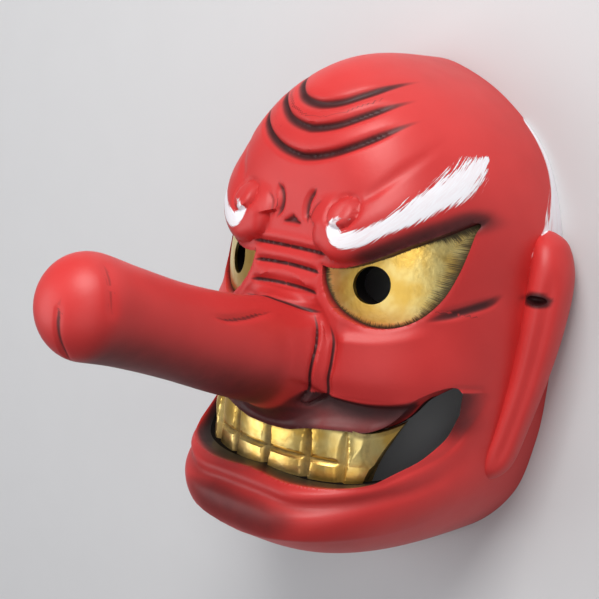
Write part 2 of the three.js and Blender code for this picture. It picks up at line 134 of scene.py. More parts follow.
# Plain grooves: path, depth, half width, and the shares of their length over which they run out
CUTS = [
    (BROW_CREASE, 1.0, 3.4, 0.2, 0.5), (FROWN[0], 1.7, 2.2, 0.25, 0.3), (FROWN[1], 0.8, 1.9, 0.3, 0.4),
    (UPPER_CROW_FOOT, 2.6, 2.6, 0, 0.5), (CROW_FOOT, 2.6, 3.2, 0.35, 0.35),
]
CHEEK_CREST = [(29, -17), (37, -16.5), (45, -15.6), (54, -13), (62, -8)]
CHEEK_EDGE = [
    (24, -39), (34.9, -40.4), (43.2, -40.8), (52.7, -39.4), (60.5, -35.9), (66, -32.6), (70, -31),
]
UPPER_LIP = [
    (0, -58), (12, -57.2), (22, -54.6), (36.7, -53.3), (43, -53.4), (48, -51), (52.5, -46.4),
    (57, -40), (61.5, -35.8), (66, -32.6), (69.5, -31.4), (71.4, -34.2),
]
LOWER_LIP = [
    (0, -75.2), (20, -76.2), (32, -75.7), (44, -74.4), (52.5, -72), (57, -68), (62.5, -62),
    (67.3, -51), (70.2, -43.4),
]
MOUTH_TAPER = 0.93
# The mouth's walls take the black painted shade from this depth
BLACK_FROM = 9.5
LIP_GROOVE = [
    (-6, -83.4), (0, -83.3), (12, -83.4), (26.6, -83.8), (42.5, -81), (53.7, -77), (60.5, -73),
    (64.6, -66.5), (68.4, -54.6),
]
JAW_EDGE = [
    (-8, -103.4), (0, -103), (15, -100.5), (27, -98.5), (38, -97), (48, -95.5), (55, -93.5),
    (61, -89.5), (66.6, -82.5), (70.3, -71),
]
# Outline of the flat wing beside the nose, open at its top: degrees round the nose's foot from the
# crown's side, and height over the foot's ring on the way to the nose
WING_OUTLINE = [
    (38, 3.6), (49, 5), (61, 6.9), (73, 8.3), (86, 9), (104, 8.8), (118, 7), (128, 4.6), (126, 1.8),
    (119, 0.6), (112, 0.3), (97, 1.5), (85, 1.1), (73, 0.6), (64, 0.1), (52, 0.2),
]
WING_RISE, WING_GROOVE = 1.0, 1.2
FOOT_ARC = 27
# The lowest wrinkle of the bridge, in the same two measures
LOW_WRINKLE = [(-6, 14.2), (0, 14), (10, 13), (24, 8.4), (36, 3.2), (43, 0.4)]
LOW_WRINKLE_DEPTH = 1.2
# Lines on the nose. The first is on the mask's left only, the others on both sides.
TIP_GROOVE = [
    (5.8, 5.5, 207.6), (5.7, 2.7, 208.2), (5.9, -0.2, 208.6), (5.6, -3.7, 208.3), (5.2, -7.3, 207.6),
    (4.7, -11.1, 205.9), (4.1, -13.8, 204.1), (2.7, -16.8, 201), (1.4, -18.6, 197),
]
BULB_CREASE = [
    (6.8, 17.6, 192.1), (11.4, 14.9, 193.7), (14.3, 12, 194.4), (17.2, 6.8, 195.7), (18.4, 2.5, 196),
    (18.6, -3.4, 195.5),
]
SHAFT_GROOVE = [
    (16.3, -4.7, 144.5), (16.3, -6.2, 135.7), (15.2, -6.5, 125.5), (13.8, -6.1, 116.5), (11.8, -6, 106.8),
]
BULB_MIDDLE, SHAFT_MIDDLE = (0, 1, 188), (0, -17, 125)
# White hair at the temple: degrees from the crown, and height of its inner edge over the rim
TEMPLE_HAIR = [
    (20, 0.8), (26, 2), (32, 3), (38, 3.8), (41.8, 6), (45.4, 9.5), (49.6, 13.6), (53, 19.6), (56, 22.5),
    (61, 25), (76, 26),
]
# The teeth: places of the upright cuts, the line between the rows, and how the row falls back
TOOTH_CUTS = [-35, -20, 0, 20, 35]
CUT_Y, CUT_REACH = -66.5, 12.5
BITE_Y = -68
TEETH_FRONT = 90
TEETH_END = 50
TEETH_BEND_FROM = 38
TEETH_BEND = 8
TOOTH_RIDGE = [(43.5, -56), (38.5, -66), (37.2, -78)]
LAST_TOOTH = [(42.5, -55), (42.6, -63), (45.3, -69), (50.8, -71.5)]
# The ear's middle line from top to lobe: X, Y, Z, share of its width, share of its thickness
EAR_LINE = [
    (74, 33, 10, 0.28, 0.5), (78.5, 27, 12.5, 0.75, 0.8), (81, 14, 14, 1, 1), (81, -6, 16, 0.98, 0.95),
    (79, -28, 18.5, 0.85, 0.85), (75, -50, 21, 0.75, 0.8), (70.5, -66, 22.5, 0.7, 0.85),
    (67.5, -75, 23.5, 0.45, 0.55),
]
# Middle of the ear's slit, and half its size each way
EAR_SLIT = (82, 5.5, 26)
EAR_SLIT_SIZE = (4.6, 2.0, 4.2)
# The floor's reach and height in metres, and the camera's place and directions in the frame
FLOOR_REACH, FLOOR_Z = 4, -0.0002
CAMERA = (0.34167, 0.09524, 0.47402)
CAMERA_RIGHT, CAMERA_UP = (0.74314, 0.09312, -0.66262), (-0.18444, 0.98041, -0.06906)
CAMERA_BACK = (0.64321, 0.17354, 0.74577)
CAMERA_LENS = 76.037
# What the lamps are turned to
LIT_POINT = (0.01, 0, 0.07)
# What near gives for points out of its reach, and the most that counts as within it
FAR, NEAR = 99, 90
# Tools for cutting reach this far over the face and under the rim
OVER_FACE, UNDER_RIM = 130, 5


def length(description, default):
    return bpy.props.FloatProperty(description=description, default=default, min=0.0001, unit="LENGTH")


def colour(description, *default):
    return bpy.props.FloatVectorProperty(
        description=description, default=(*default, 1), size=4, min=0, max=1, subtype="COLOR")


class MaskSizes(bpy.types.PropertyGroup):
    face_height: length("Crown to chin", CAD_HIGH[1] - CAD_LOW[1])
    face_width: length("Across the rim, without the ears", 0.156)
    face_depth: length("Rim to the middle of the face", 0.106)
    nose_length: length("Root of the nose to its tip", 0.143)
    nose_radius: length("At the root of the nose", 0.024)
    side_wall: length("Thickness of the wood at the rim", 0.0085)
    front_wall: length("Thickness of the wood behind the face", 0.014)
    nose_wall: length("Thickness of the wood in the root of the nose", 0.008)
    nose_hollow: length("How far the hollow runs into the nose", 0.034)
    pupil_diameter: length("Holes to see through", 0.0155)
    brow_rise: length("Height of the brow ridges", 0.0048)
    fold_depth: length("Depth of the forehead's folds", 0.0026)
    lip_step: length("How far the upper lip lies behind the cheek", 0.0046)
    mouth_depth: length("From the face to the bottom of the mouth", 0.026)
    ear_width: length("Widest part of the ear", 0.024)
    ear_thickness: length("Thickest part of the ear", 0.017)
    tooth_thickness: length("Thickness of the band of teeth", 0.009)
    key_size: length("Edge of the square key light", 0.55)


class MaskColours(bpy.types.PropertyGroup):
    lacquer: colour("Red lacquer in the light", 0.60, 0.034, 0.032)
    deep_lacquer: colour("Red lacquer where it is thick", 0.50, 0.024, 0.023)
    # Painted shade: maroon in the soft hollows, under the brow and nose and over the upper lip; shadow in the
    # carved lines, partly the mask's own dark paint; and the black painted shade deep in the mouth and pupils
    maroon: colour("Thin dark paint in soft hollows", 0.155, 0.010, 0.010)
    shadow: colour("Dark paint in the carved lines", 0.045, 0.004, 0.005)
    soot: colour("Inside the mouth and the pupils", 0.004, 0.003, 0.003)
    hair: colour("White of the brows and temples", 0.82, 0.82, 0.86)
    gold: colour("Gold leaf", 0.78, 0.50, 0.11)
    pale_gold: colour("Gold leaf where it is thin", 0.94, 0.76, 0.30)
    # Amber laid over the gold towards the bottom of the eyes and teeth
    amber: colour("Glaze on the lower part of the eyes", 0.62, 0.25, 0.05)
    umber: colour("Brush strokes on the gold", 0.030, 0.017, 0.007)
    inside: colour("Dark lacquer in the hollow", 0.012, 0.005, 0.004)
    floor: colour("Pale floor", 0.60, 0.60, 0.61)


def sizes():
    return bpy.context.scene.tengu_sizes


def colours():
    return bpy.context.scene.tengu_colours


def scale_of_drawing():
    """Millimetres drawn to metres, one factor each across, along and out of the face."""
    size = sizes()
    edges = np.array([size.face_width, size.face_height, size.face_depth])
    return edges / [DRAWN_WIDTH, DRAWN_HEIGHT, DRAWN_DEPTH]


def placed(points):
    """Drawn millimetres to metres in the frame, whose middle is halfway from crown to chin."""
    return (points - [0, (CROWN_Y + CHIN_Y) / 2, 0]) * scale_of_drawing()


def drawn(points):
    """Metres in the frame back to drawn millimetres."""
    return points / scale_of_drawing() + [0, (CROWN_Y + CHIN_Y) / 2, 0]


def through(rows, x, column=1, level=False):
    """Smooth curve through rows: cubic pieces whose slope at a row is the mean slope to its neighbours."""
    table = np.asarray(rows, float)
    at, value = table[:, 0], table[:, column]
    slope = np.zeros_like(value)
    slope[1:-1] = (value[2:] - value[:-2]) / (at[2:] - at[:-2])
    if not level:
        slope[0] = (value[1] - value[0]) / (at[1] - at[0])
        slope[-1] = (value[-1] - value[-2]) / (at[-1] - at[-2])
    x = np.clip(x, at[0], at[-1])
    i = np.clip(np.searchsorted(at, x, side="right") - 1, 0, len(at) - 2)
    h = at[i + 1] - at[i]
    t = (x - at[i]) / h
    near_part = (1 + 2 * t) * (1 - t) ** 2 * value[i] + t * (1 - t) ** 2 * h * slope[i]
    return near_part + t * t * (3 - 2 * t) * value[i + 1] + t * t * (t - 1) * h * slope[i + 1]


def ramp(start, stop, x):
    """0 before start, 1 past stop, and an S-shaped cubic between."""
    t = np.clip((x - start) / (stop - start), 0, 1)
    return t * t * (3 - 2 * t)


def bell(x, middle, width):
    """exp(-((x - middle) / width)^2)."""
    return np.exp(-((x - middle) / width) ** 2)


def groove(distance, half):
    """Cross-section of a soft groove: (1 - (distance / half)^2)^2, and 0 past half its width."""
    return np.clip(1 - (distance / half) ** 2, 0, 1) ** 2


def fading(place, full, gone):
    """Along a line: rises from 0 up to full, and runs out from gone to the end."""
    return ramp(0, full, place) * (1 - ramp(gone, 1, place))


def polar(x, y):
    """Angle from the crown and distance, about the nose's foot."""
    return np.arctan2(x, y - NOSE_Y), np.hypot(x, y - NOSE_Y)


def about_nose(angle, radius):
    """X and Y of a point at that angle and distance."""
    return radius * np.sin(angle), NOSE_Y + radius * np.cos(angle)


def path(points, count=40):
    """Points spread evenly along a smooth curve through the given points."""
    points = np.asarray(points, float)
    run = np.r_[0, np.cumsum(np.linalg.norm(np.diff(points, axis=0), axis=1))]
    at = np.linspace(0, run[-1], count + 1)
    return np.stack([through(np.stack([run, column], 1), at) for column in points.T], 1)


def near(points, x, y, reach=22, z=None, middle=None):
    """Distance to a path, positive on its left, and the place along it from 0 to 1: the nearest point of
    the nearest straight piece, in the drawing's plane, or in space where z is given. Left is as seen from
    the front, or in space from outside a middle. Points further than reach from the path's box get FAR."""
    line = path(points)
    low, high = line.min(0) - reach, line.max(0) + reach
    spots = np.stack([x, y] if z is None else [x, y, z], -1)
    close = ((spots > low) & (spots < high)).all(-1)
    distance, place = np.full(x.shape, float(FAR)), np.zeros(x.shape)
    if not close.any():
        return distance, place
    step = np.diff(line, axis=0)
    away = spots[close][:, None] - line[:-1]
    k = np.clip((away * step).sum(-1) / (step ** 2).sum(1), 0, 1)
    away = away - k[..., None] * step
    gap = np.linalg.norm(away, axis=-1)
    best = gap.argmin(1)[:, None]
    if middle is None:
        turn = step[:, 0] * away[..., 1] - step[:, 1] * away[..., 0]
    else:
        turn = (np.cross(step, away) * (spots[close] - middle)[:, None]).sum(-1)
    side = np.where(np.take_along_axis(turn, best, 1)[:, 0] < 0, -1, 1)
    distance[close] = side * np.take_along_axis(gap, best, 1)[:, 0]
    place[close] = (best[:, 0] + np.take_along_axis(k, best, 1)[:, 0]) / len(step)
    return distance, place


def rim_radius(angle):
    """Radius of the rim about the nose's foot, by the angle from the crown."""
    outline = np.array(RIM, float) - [0, NOSE_Y]
    rows = np.stack([np.arctan2(outline[:, 0], outline[:, 1]), np.hypot(*outline.T)], 1)
    return through(rows, np.abs(angle), level=True)


def squareness(angle):
    """The two powers p and q of the dome at an angle."""
    degrees = np.degrees(np.abs(angle))
    return through(SHOULDER, degrees, level=True), through(ROUNDNESS, degrees, level=True)


def dome(x, y, side=0, front=0):
    """Bare face: the middle line's height times (1 - share^p)^(1/q), where share is how far the point is
    from the nose's foot to the rim. side and front are a wall's thickness, for the hollow behind."""
    angle, radius = polar(x, y)
    share = np.minimum(radius / (rim_radius(angle) - side), 1)
    p, q = squareness(angle)
    return (through(MIDDLE, y) - front) * (1 - share ** p) ** (1 / q)


def cut(points, x, y, depth, half, fade_in, fade_out):
    """Groove along a path, running out in depth and width over these shares of its length."""
    distance, place = near(points, x, y, 12)
    run = 1 - ramp(1 - fade_out, 1, place)
    if fade_in:
        run *= ramp(0, fade_in, place)
    return -depth * run * groove(distance, half * (0.35 + 0.65 * run))


def mouth_outline():
    """The whole left half of the mouth's outline, closed over the corner."""
    return UPPER_LIP + [(71.6, -38.3)] + LOWER_LIP[::-1]


def notch_depth(side, y):
    """How far a point lies inside the small three-cornered notch over the bridge."""
    return np.minimum(y - NOTCH_Y, (NOTCH_HALF - side - 1.5 * np.maximum(y - NOTCH_Y, 0)) * 0.6)


def carving(x, y):
    """All that is carved over the bare face: grooves along paths, ridges and rolls as bells or one-sided
    falls of the distance to a path, and edges that turn down into the eyes and mouth."""
    size, side = sizes(), np.abs(x)
    fold_depth, brow_rise = size.fold_depth * 1000, size.brow_rise * 1000
    height = np.zeros_like(side)
    for fold, share in zip(FOLDS, FOLD_SHARES):
        distance, place = near(fold, side, y)
        run = 1 - ramp(0.7, 1, place)
        height -= share * fold_depth * run * groove(distance, 2.3 + 0.7 * run)
        height += 0.5 * run * bell(distance, 5.2, 3.2)
    distance, place = near(BROW, side, y)
    under = np.clip(1 - (np.maximum(-distance, 0) / 8.2) ** 3, 0, 1) ** 0.6
    height += brow_rise * through(BROW_RISE, place) * np.where(distance < 0, under, 1 - ramp(3, 17, distance))
    curl = np.hypot(side - CURL_X, y - CURL_Y) / CURL_RADIUS
    height += CURL_RISE * np.sqrt(np.clip(1 - curl ** 2, 0, 1)) - 0.9 * bell(curl, 1.12, 0.16)
    for line, *cross in CUTS:
        height += cut(line, side, y, *cross)
    height -= NOTCH_DEPTH * ramp(-0.8, 1.6, notch_depth(side, y))
    distance, place = near(CHEEK_CREST, side, y)
    crest = np.where(distance < 0, np.exp(np.minimum(distance, 0) / 9), bell(distance, 0, 3.2))
    height += fading(place, 0.12, 0.7) * (1.6 * crest - 1.2 * bell(distance, 6.5, 3.5))
    distance, place = near(CHEEK_EDGE, side, y)
    step = ramp(-0.2, 2.2, -distance) * ramp(14, 26, side) * (1 - ramp(60, 68, side))
    height -= size.lip_step * 1000 * step * (y < NOSE_Y) * ramp(-61, -52, y)
    distance, place = near(LIP_GROOVE, side, y)
    height -= (1 - ramp(0.75, 1, place)) * (2.6 * bell(distance, 0, 3) - bell(distance, 5, 3))
    distance, place = near(UPPER_LIP, side, y)
    height += 2.6 * bell(distance, 0, 3.2) * ramp(14, 24, side) * ramp(58, 50, side)
    distance, place = near(JAW_EDGE, side, y, 40)
    height += 2.2 * np.exp(-np.abs(distance) / np.where(distance > 0, 7, 2.4)) * (1 - ramp(0.8, 1, place))
    for outline, radius in ((EYE_OUTLINE, 1.6), (mouth_outline(), 2.6)):
        distance, _ = near(outline, side, y, 6)
        height -= 0.55 * radius * np.clip(1 - np.abs(distance) / radius, 0, 1) ** 2
    return height


def face_height_at(x, y):
    """Bare face and carving, where the carving fades out just before the rim."""
    angle, radius = polar(x, y)
    return dome(x, y) + carving(x, y) * (1 - ramp(0.93, 1, radius / rim_radius(angle)))


def nose_rise():
    """Drawn height from the nose's root to its tip, so that its length in the frame is the panel's."""
    return sizes().nose_length / (sizes().face_depth / DRAWN_DEPTH)


def nose_axis(z):
    """Y of the nose's middle line at a height."""
    rows = np.array(NOSE_LINE)
    return np.interp(z, NOSE_ROOT_Z + sizes().nose_length * 1000 * rows[:, 2], rows[:, 1])


def nose_point(share, angle, inset=0):
    """Point on the nose: a circle round the middle line, square to it, whose radius closes as the root of
    1 - k^2.2 over the last stretch before the tip."""
    rise = nose_rise()
    step = 0.001
    y, z = through(NOSE_LINE, share), NOSE_ROOT_Z + rise * through(NOSE_LINE, share, 2)
    dy = through(NOSE_LINE, share + step) - through(NOSE_LINE, share - step)
    dz = rise * (through(NOSE_LINE, share + step, 2) - through(NOSE_LINE, share - step, 2))
    run = np.hypot(dy, dz)
    blunt = np.maximum((share - 1) * (rise / NOSE_TIP_ROUND) + 1, 0)
    radius = sizes().nose_radius * 1000 * through(NOSE_LINE, share, 3) - inset
    radius *= np.sqrt(np.maximum(1 - blunt ** 2.2, 0))
    up = radius * np.cos(angle)
    return np.stack([radius * np.sin(angle), y + up * dz / run, z - up * dy / run], -1)


def strip(low, high):
    """Faces between two closed rings of corner numbers, where the second has as many corners or half."""
    if len(low) == len(high):
        return np.stack([low, np.roll(low, -1), np.roll(high, -1), high], 1).tolist()
    even, odd, after, beside = low[::2], low[1::2], np.roll(low[::2], -1), np.roll(high, -1)
    fans = ([even, odd, high], [odd, beside, high], [odd, after, beside])
    return np.concatenate([np.stack(fan, 1) for fan in fans]).tolist()


def loft(rings, base, tip):
    """Closed body through rings of points, with fans from the base to the first and from the last to
    the tip."""
    starts = np.cumsum([0] + [len(ring) for ring in rings])
    numbers = [np.arange(a, b) for a, b in zip(starts[:-1], starts[1:])]
    faces = [face for low, high in zip(numbers[:-1], numbers[1:]) for face in strip(low, high)]
    first, last = numbers[0], numbers[-1]
    faces += np.stack([np.full_like(first, starts[-1]), np.roll(first, -1), first], 1).tolist()
    faces += np.stack([last, np.roll(last, -1), np.full_like(last, starts[-1] + 1)], 1).tolist()
    return np.concatenate([*rings, [base], [tip]]), faces


def quads(number):
    """Faces between the neighbours in a grid of corner numbers."""
    return np.stack([number[:-1, :-1], number[:-1, 1:], number[1:, 1:], number[1:, :-1]], -1).reshape(-1, 4)


def slab(front, back, levels=1):
    """Closed body between two grids of points of the same size: both sheets, and walls round their edge,
    cut across into as many levels."""
    rows, columns = front.shape[:2]
    number = np.arange(rows * columns).reshape(rows, columns)
    behind = number + rows * columns
    edge = np.concatenate([number[0, :-1], number[:-1, -1], number[-1, :0:-1], number[:0:-1, 0]])
    corners = np.concatenate([front.reshape(-1, 3), back.reshape(-1, 3)])
    start, run = corners[edge], corners[edge + rows * columns] - corners[edge]
    between = [start + run * k / levels for k in range(1, levels)]
    steps = [edge, *(len(corners) + k * len(edge) + np.arange(len(edge)) for k in range(levels - 1)),
             edge + rows * columns]
    walls = [np.stack([a, b, np.roll(b, -1), np.roll(a, -1)], 1) for a, b in zip(steps[:-1], steps[1:])]
    faces = np.concatenate([quads(number), quads(behind)[:, ::-1], *walls])
    return np.concatenate([corners, *between]), faces.tolist()


def make_object(name, body, mirror=False):
    """Mesh object at the origin from drawn points and faces, turned so that its volume is positive."""
    points, faces = body
    points = placed(np.array(points, float) * ([-1, 1, 1] if mirror else [1, 1, 1]))
    mesh = bpy.data.meshes.new(name)
    mesh.from_pydata(points.tolist(), [], faces)
    mesh.calc_loop_triangles()
    triangles = np.empty(len(mesh.loop_triangles) * 3, int)
    mesh.loop_triangles.foreach_get("vertices", triangles)
    a, b, c = points[triangles.reshape(-1, 3)].transpose(1, 0, 2)
    if np.einsum("ij,ij->i", a, np.cross(b, c)).sum() < 0:
        mesh.flip_normals()
    mesh.update()
    piece = bpy.data.objects.new(name, mesh)
    bpy.context.scene.collection.objects.link(piece)
    return piece


def carve(piece, tools):
    """Joins each tool to the piece or cuts it away, in order, and keeps only the result."""
    for tool, operation in tools:
        step = piece.modifiers.new(tool.name, "BOOLEAN")
        step.object, step.operation, step.solver = tool, operation, "MANIFOLD"
    bpy.context.view_layer.update()
    result = bpy.data.meshes.new_from_object(piece.evaluated_get(bpy.context.evaluated_depsgraph_get()))
    piece.modifiers.clear()
    old, piece.data = piece.data, result
    result.name = piece.name
    result.materials.clear()
    bpy.data.meshes.remove(old)
    for tool, _ in tools:
        bpy.data.meshes.remove(tool.data)


def corners_of(mesh):
    """The mesh's corners in drawn millimetres."""
    points = np.empty(len(mesh.vertices) * 3)
    mesh.vertices.foreach_get("co", points)
    return drawn(points.reshape(-1, 3))


def keep_values(mesh, **values):
    """One number a corner under each name, for the materials to read."""
    for name, numbers in values.items():
        layer = mesh.attributes.new(name, "FLOAT", "POINT")
        layer.data.foreach_set("value", np.asarray(numbers, np.float32))


def finish_piece(piece, sharp_degrees, *materials):
    """Smooth shading with sharp edges from an angle on, the materials, and the piece's place in the part."""
    piece.data.shade_smooth()
    piece.data.set_sharp_from_angle(angle=np.radians(sharp_degrees))
    for material in materials:
        piece.data.materials.append(material)
    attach(piece, "root")
    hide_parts("mask")


def ring(count):
    """Evenly spread angles round a full turn."""
    return np.linspace(0, 2 * np.pi, count, endpoint=False)


def turned(angle):
    """The same angle from -pi to pi."""
    return np.arctan2(np.sin(angle), np.cos(angle))


def foot_gap(outline, x, y, z, reach=12):
    """Distance from a line about the nose's foot and the place along it: measured in a plane whose first
    direction is the arc round the foot, and whose second climbs from the foot's ring halfway between
    inward and upward."""
    angle, radius = polar(np.abs(x), y)
    degrees = np.degrees(angle)
    foot = through(NOSE_FOOT, degrees, level=True)
    climb = (z - dome(*about_nose(angle, foot)) - (radius - foot)) / np.sqrt(2)
    arc = np.radians(FOOT_ARC)
    gap, place = near([(row[0] * arc, row[1]) for row in outline], degrees * arc, climb, reach)
    return np.where(z > BRIDGE_FOOT, gap, FAR), place


def foot_relief(x, y, z):
    """Relief round the nose's foot: the wing, raised inside its outline and grooved along it, and the
    wrinkles over the bridge with a roll above each."""
    gap, place = foot_gap(WING_OUTLINE, x, y, z)
    raised = 1.0 * ramp(-0.5, 1.2, -gap) * (np.abs(gap) < NEAR)
    height = fading(place, 0.12, 0.9) * (raised - WING_GROOVE * groove(gap, 1.9))
    for middle, half, fall in BRIDGE_WRINKLES:
        out = np.abs(x) / half
        line = y - middle + fall * out ** 2
        height -= WRINKLE_DEPTH * (1 - ramp(0.8, 1, out)) * groove(line, 2.2) * (z < BRIDGE_TOP)
        height += 0.8 * (1 - ramp(0.6, 1, out)) * bell(line, 3.4, 1.9) * (z < BRIDGE_TOP)
    gap, place = foot_gap(LOW_WRINKLE, x, y, z, 8)
    return height - LOW_WRINKLE_DEPTH * (1 - ramp(0.8, 1, place)) * groove(gap, 2.2)


def nose_relief(x, y, z):
    """Carved lines on the nose: grooves at the tip and on the shaft, and a shallow one behind the bulb."""
    height = np.zeros_like(x)
    for line, depth, half, across in (
            (TIP_GROOVE, 1.3, 2.4, x), (SHAFT_GROOVE, 1.0, 2.6, np.abs(x)), (BULB_CREASE, 0.7, 3, np.abs(x))):
        gap, place = near(line, across, y, 6, z)
        run = fading(place, 0.2, 0.75)
        height -= depth * run * groove(gap, half * (0.4 + 0.6 * run))
    return height


def unit(vectors):
    """Each vector over its length."""
    return vectors / np.maximum(np.linalg.norm(vectors, axis=-1, keepdims=True), 1e-6)


def outer_form():
    """Rings from the rim over the face to the nose's foot at height face_height_at, a fillet whose points
    follow quadratic curves onto the nose, and rings along the nose out to its tip."""
    around, face_rings, fillet_rings, nose_rings = 512, 126, 24, 60
    angle = -ring(around)
    degrees = np.degrees(np.abs(turned(angle)))
    inward = np.sin((1 - np.linspace(0, 1, face_rings + 1)) * np.pi / 2)[:, None]
    foot = through(NOSE_FOOT, degrees, level=True)
    x, y = about_nose(angle, foot + (rim_radius(turned(angle)) - foot) * inward)
    face = np.stack([x, y, face_height_at(x, y)], -1)
    face[0, :, 2] = 0
    half = angle[::2]
    start = through(NOSE_START, np.abs(turned(half)))
    rise = nose_rise()
    bend_rows = [(NOSE_ROOT_Z, 0), (NOSE_ROOT_Z + NOSE_LINE[2][2] * rise, NOSE_LINE[2][0])]
    low = face[-1, ::2]
    bend = nose_point(through(bend_rows, low[:, 2]), half)
    end = nose_point(start, half)
    share = np.linspace(0, 1, fillet_rings + 2)[1:-1, None, None]
    fillet = (1 - share) ** 2 * low + 2 * share * (1 - share) * bend + share ** 2 * end
    wing = ramp(42, 56, degrees[::2]) * (1 - ramp(104, 116, degrees[::2]))
    away = unit(np.stack([np.sin(half), np.cos(half), np.ones_like(half)], -1))
    swell = WING_RISE * (4 * share * (1 - share)) ** 0.6
    turning = np.minimum(share * 3, 1)
    relief_way = away * turning + np.array([0, 0, 1]) * (1 - turning)
    relief = foot_relief(*fillet.transpose(2, 0, 1))[..., None]
    fillet = fillet + away * wing[:, None] * swell + relief_way * relief
    face[1:, :, 2] += foot_relief(*face[1:].transpose(2, 0, 1))
    climb = np.sin(np.linspace(0, 1, nose_rings, endpoint=False)[:, None] * np.pi / 2) ** 0.9
    along = start + (1 - start) * climb
    nose = nose_point(along, np.broadcast_to(half, along.shape))
    out = unit(nose - nose.mean(1, keepdims=True))
    nose = nose + out * nose_relief(*nose.transpose(2, 0, 1))[..., None]
    return loft([*face, *fillet, *nose], [0, NOSE_Y, 0], [0, NOSE_LINE[-1][1], NOSE_ROOT_Z + rise])


def hollow():
    """The hollow behind the face: the bare face moved in by the walls, running on into the nose's root."""
    size = sizes()
    side, front, wall = size.side_wall * 1000, size.front_wall * 1000, size.nose_wall * 1000
    angle = -ring(144)
    edge = rim_radius(turned(angle)) - side
    opening = size.nose_radius * 1000 - wall
    inward = np.sin((1 - np.linspace(0, 1, 41)) * np.pi / 2)[:, None]
    x, y = about_nose(angle, opening + (edge - opening) * inward)
    rings = [np.stack([*about_nose(angle, edge), np.full_like(angle, -UNDER_RIM)], -1)]
    rings += [*np.stack([x, y, dome(x, y, side, front)], -1)]
    reach = size.nose_hollow / size.nose_length
    for share in (0.3, 0.5, 0.65, 0.8, 0.9):
        rings.append(nose_point(0.1 + reach * share, angle, wall + 3 * share))
    tip = (nose_point(0.1 + reach, 0.0, wall) + nose_point(0.1 + reach, np.pi, wall)) / 2
    return loft(rings, [0, NOSE_Y, -UNDER_RIM], tip)


def ear():
    """A long flat loop: ellipses of changing width and thickness along the ear's middle line, with a
    shallow trough along the side that faces forward."""
    size = sizes()
    rows = [(k, *row) for k, row in enumerate(EAR_LINE)]
    place = np.linspace(0, len(EAR_LINE) - 1, 73)[:, None]
    x, y, z, wide, thick = (through(rows, place, column) for column in range(1, 6))
    angle = ring(40)
    wide, thick = wide * size.ear_width * 500, thick * size.ear_thickness * 500
    ends = np.sqrt(np.clip(1 - (np.abs(np.linspace(-1, 1, 73)[:, None]) ** 14), 0, 1))
    trough = 0.16 * bell(turned(angle - 0.9), 0, 0.35) * ramp(1.5, 2.4, place) * (1 - ramp(5.4, 6.6, place))
    px = x + thick * ends * np.cos(angle) * (1 - trough)
    pz = z + wide * ends * np.sin(angle) * (1 - trough)
    loop = np.stack([px, np.broadcast_to(y, px.shape), pz], -1)
    return loft([*loop], loop[0].mean(0), loop[-1].mean(0))


def ear_slit():
    """Ellipsoid by latitude and longitude."""
    latitude, angle = np.linspace(0, np.pi, 26)[1:-1, None], ring(48)
    ball = np.stack(np.broadcast_arrays(
        np.sin(latitude) * np.cos(angle), np.sin(latitude) * np.sin(angle), np.cos(latitude)), -1)
    middle, half = np.array(EAR_SLIT, float), np.array(EAR_SLIT_SIZE, float)
    return loft([*(middle + ball * half)], middle + [0, 0, half[2]], middle - [0, 0, half[2]])


def slit_distance(side, y, z):
    """1 on the slit's ellipsoid, less inside it."""
    return np.linalg.norm((np.stack([side, y, z], -1) - EAR_SLIT) / EAR_SLIT_SIZE, axis=-1)


def eyeball_height(x, y):
    """Front of the ball: its centre's height plus sqrt(radius^2 - distance from the centre^2)."""
    bx, by, bz, radius = EYEBALL
    return bz + np.sqrt(radius ** 2 - (x - bx) ** 2 - (y - by) ** 2)


def eye_rim(grow=0.0):
    """Points of the eye's outline, moved outwards from its middle by grow."""
    line = path(EYE_OUTLINE, 200)[:-1]
    return line + unit(line - EYE_MIDDLE) * grow


def eye_socket():
    """Straight walls under the eye's outline, down to a floor just behind the eyeball."""
    line = eye_rim()
    rings = [np.column_stack([line, np.full(len(line), float(OVER_FACE))])]
    for share in np.linspace(1, 0.12, 12):
        spot = EYE_MIDDLE + (line - EYE_MIDDLE) * share
        rings.append(np.column_stack([spot, eyeball_height(*spot.T) - SOCKET_GAP]))
    middle = np.array([*EYE_MIDDLE, eyeball_height(*EYE_MIDDLE) - SOCKET_GAP])
    return loft(rings, [*EYE_MIDDLE, OVER_FACE], middle)


def pupil_hole():
    """Upright cylinder."""
    radius = sizes().pupil_diameter * 500 + 0.1
    angle = ring(64)
    x, y = PUPIL[0] + radius * np.cos(angle), PUPIL[1] + radius * np.sin(angle)
    rings = [np.stack([x, y, np.full_like(x, z)], -1) for z in (30, OVER_FACE)]
    return loft(rings, [*PUPIL, 30], [*PUPIL, OVER_FACE])


def mouth_block():
    """The mouth's opening: a grid between the upper and the lower lip, from high over the face down to a
    floor at an even depth behind it, drawn in a little sideways."""
    upper, lower = (
        np.concatenate([line[:0:-1] * [-1, 1], line]) for line in (path(UPPER_LIP, 64), path(LOWER_LIP, 64)))
    grid = lower + (upper - lower) * np.linspace(0, 1, 17)[:, None, None]
    x, y = grid[..., 0], grid[..., 1]
    floor = dome(x, y) - sizes().mouth_depth * 1000
    top = np.stack([x, y, np.full_like(x, OVER_FACE + 5)], -1)
    return slab(top, np.stack([x * MOUTH_TAPER, y, floor], -1), 24)


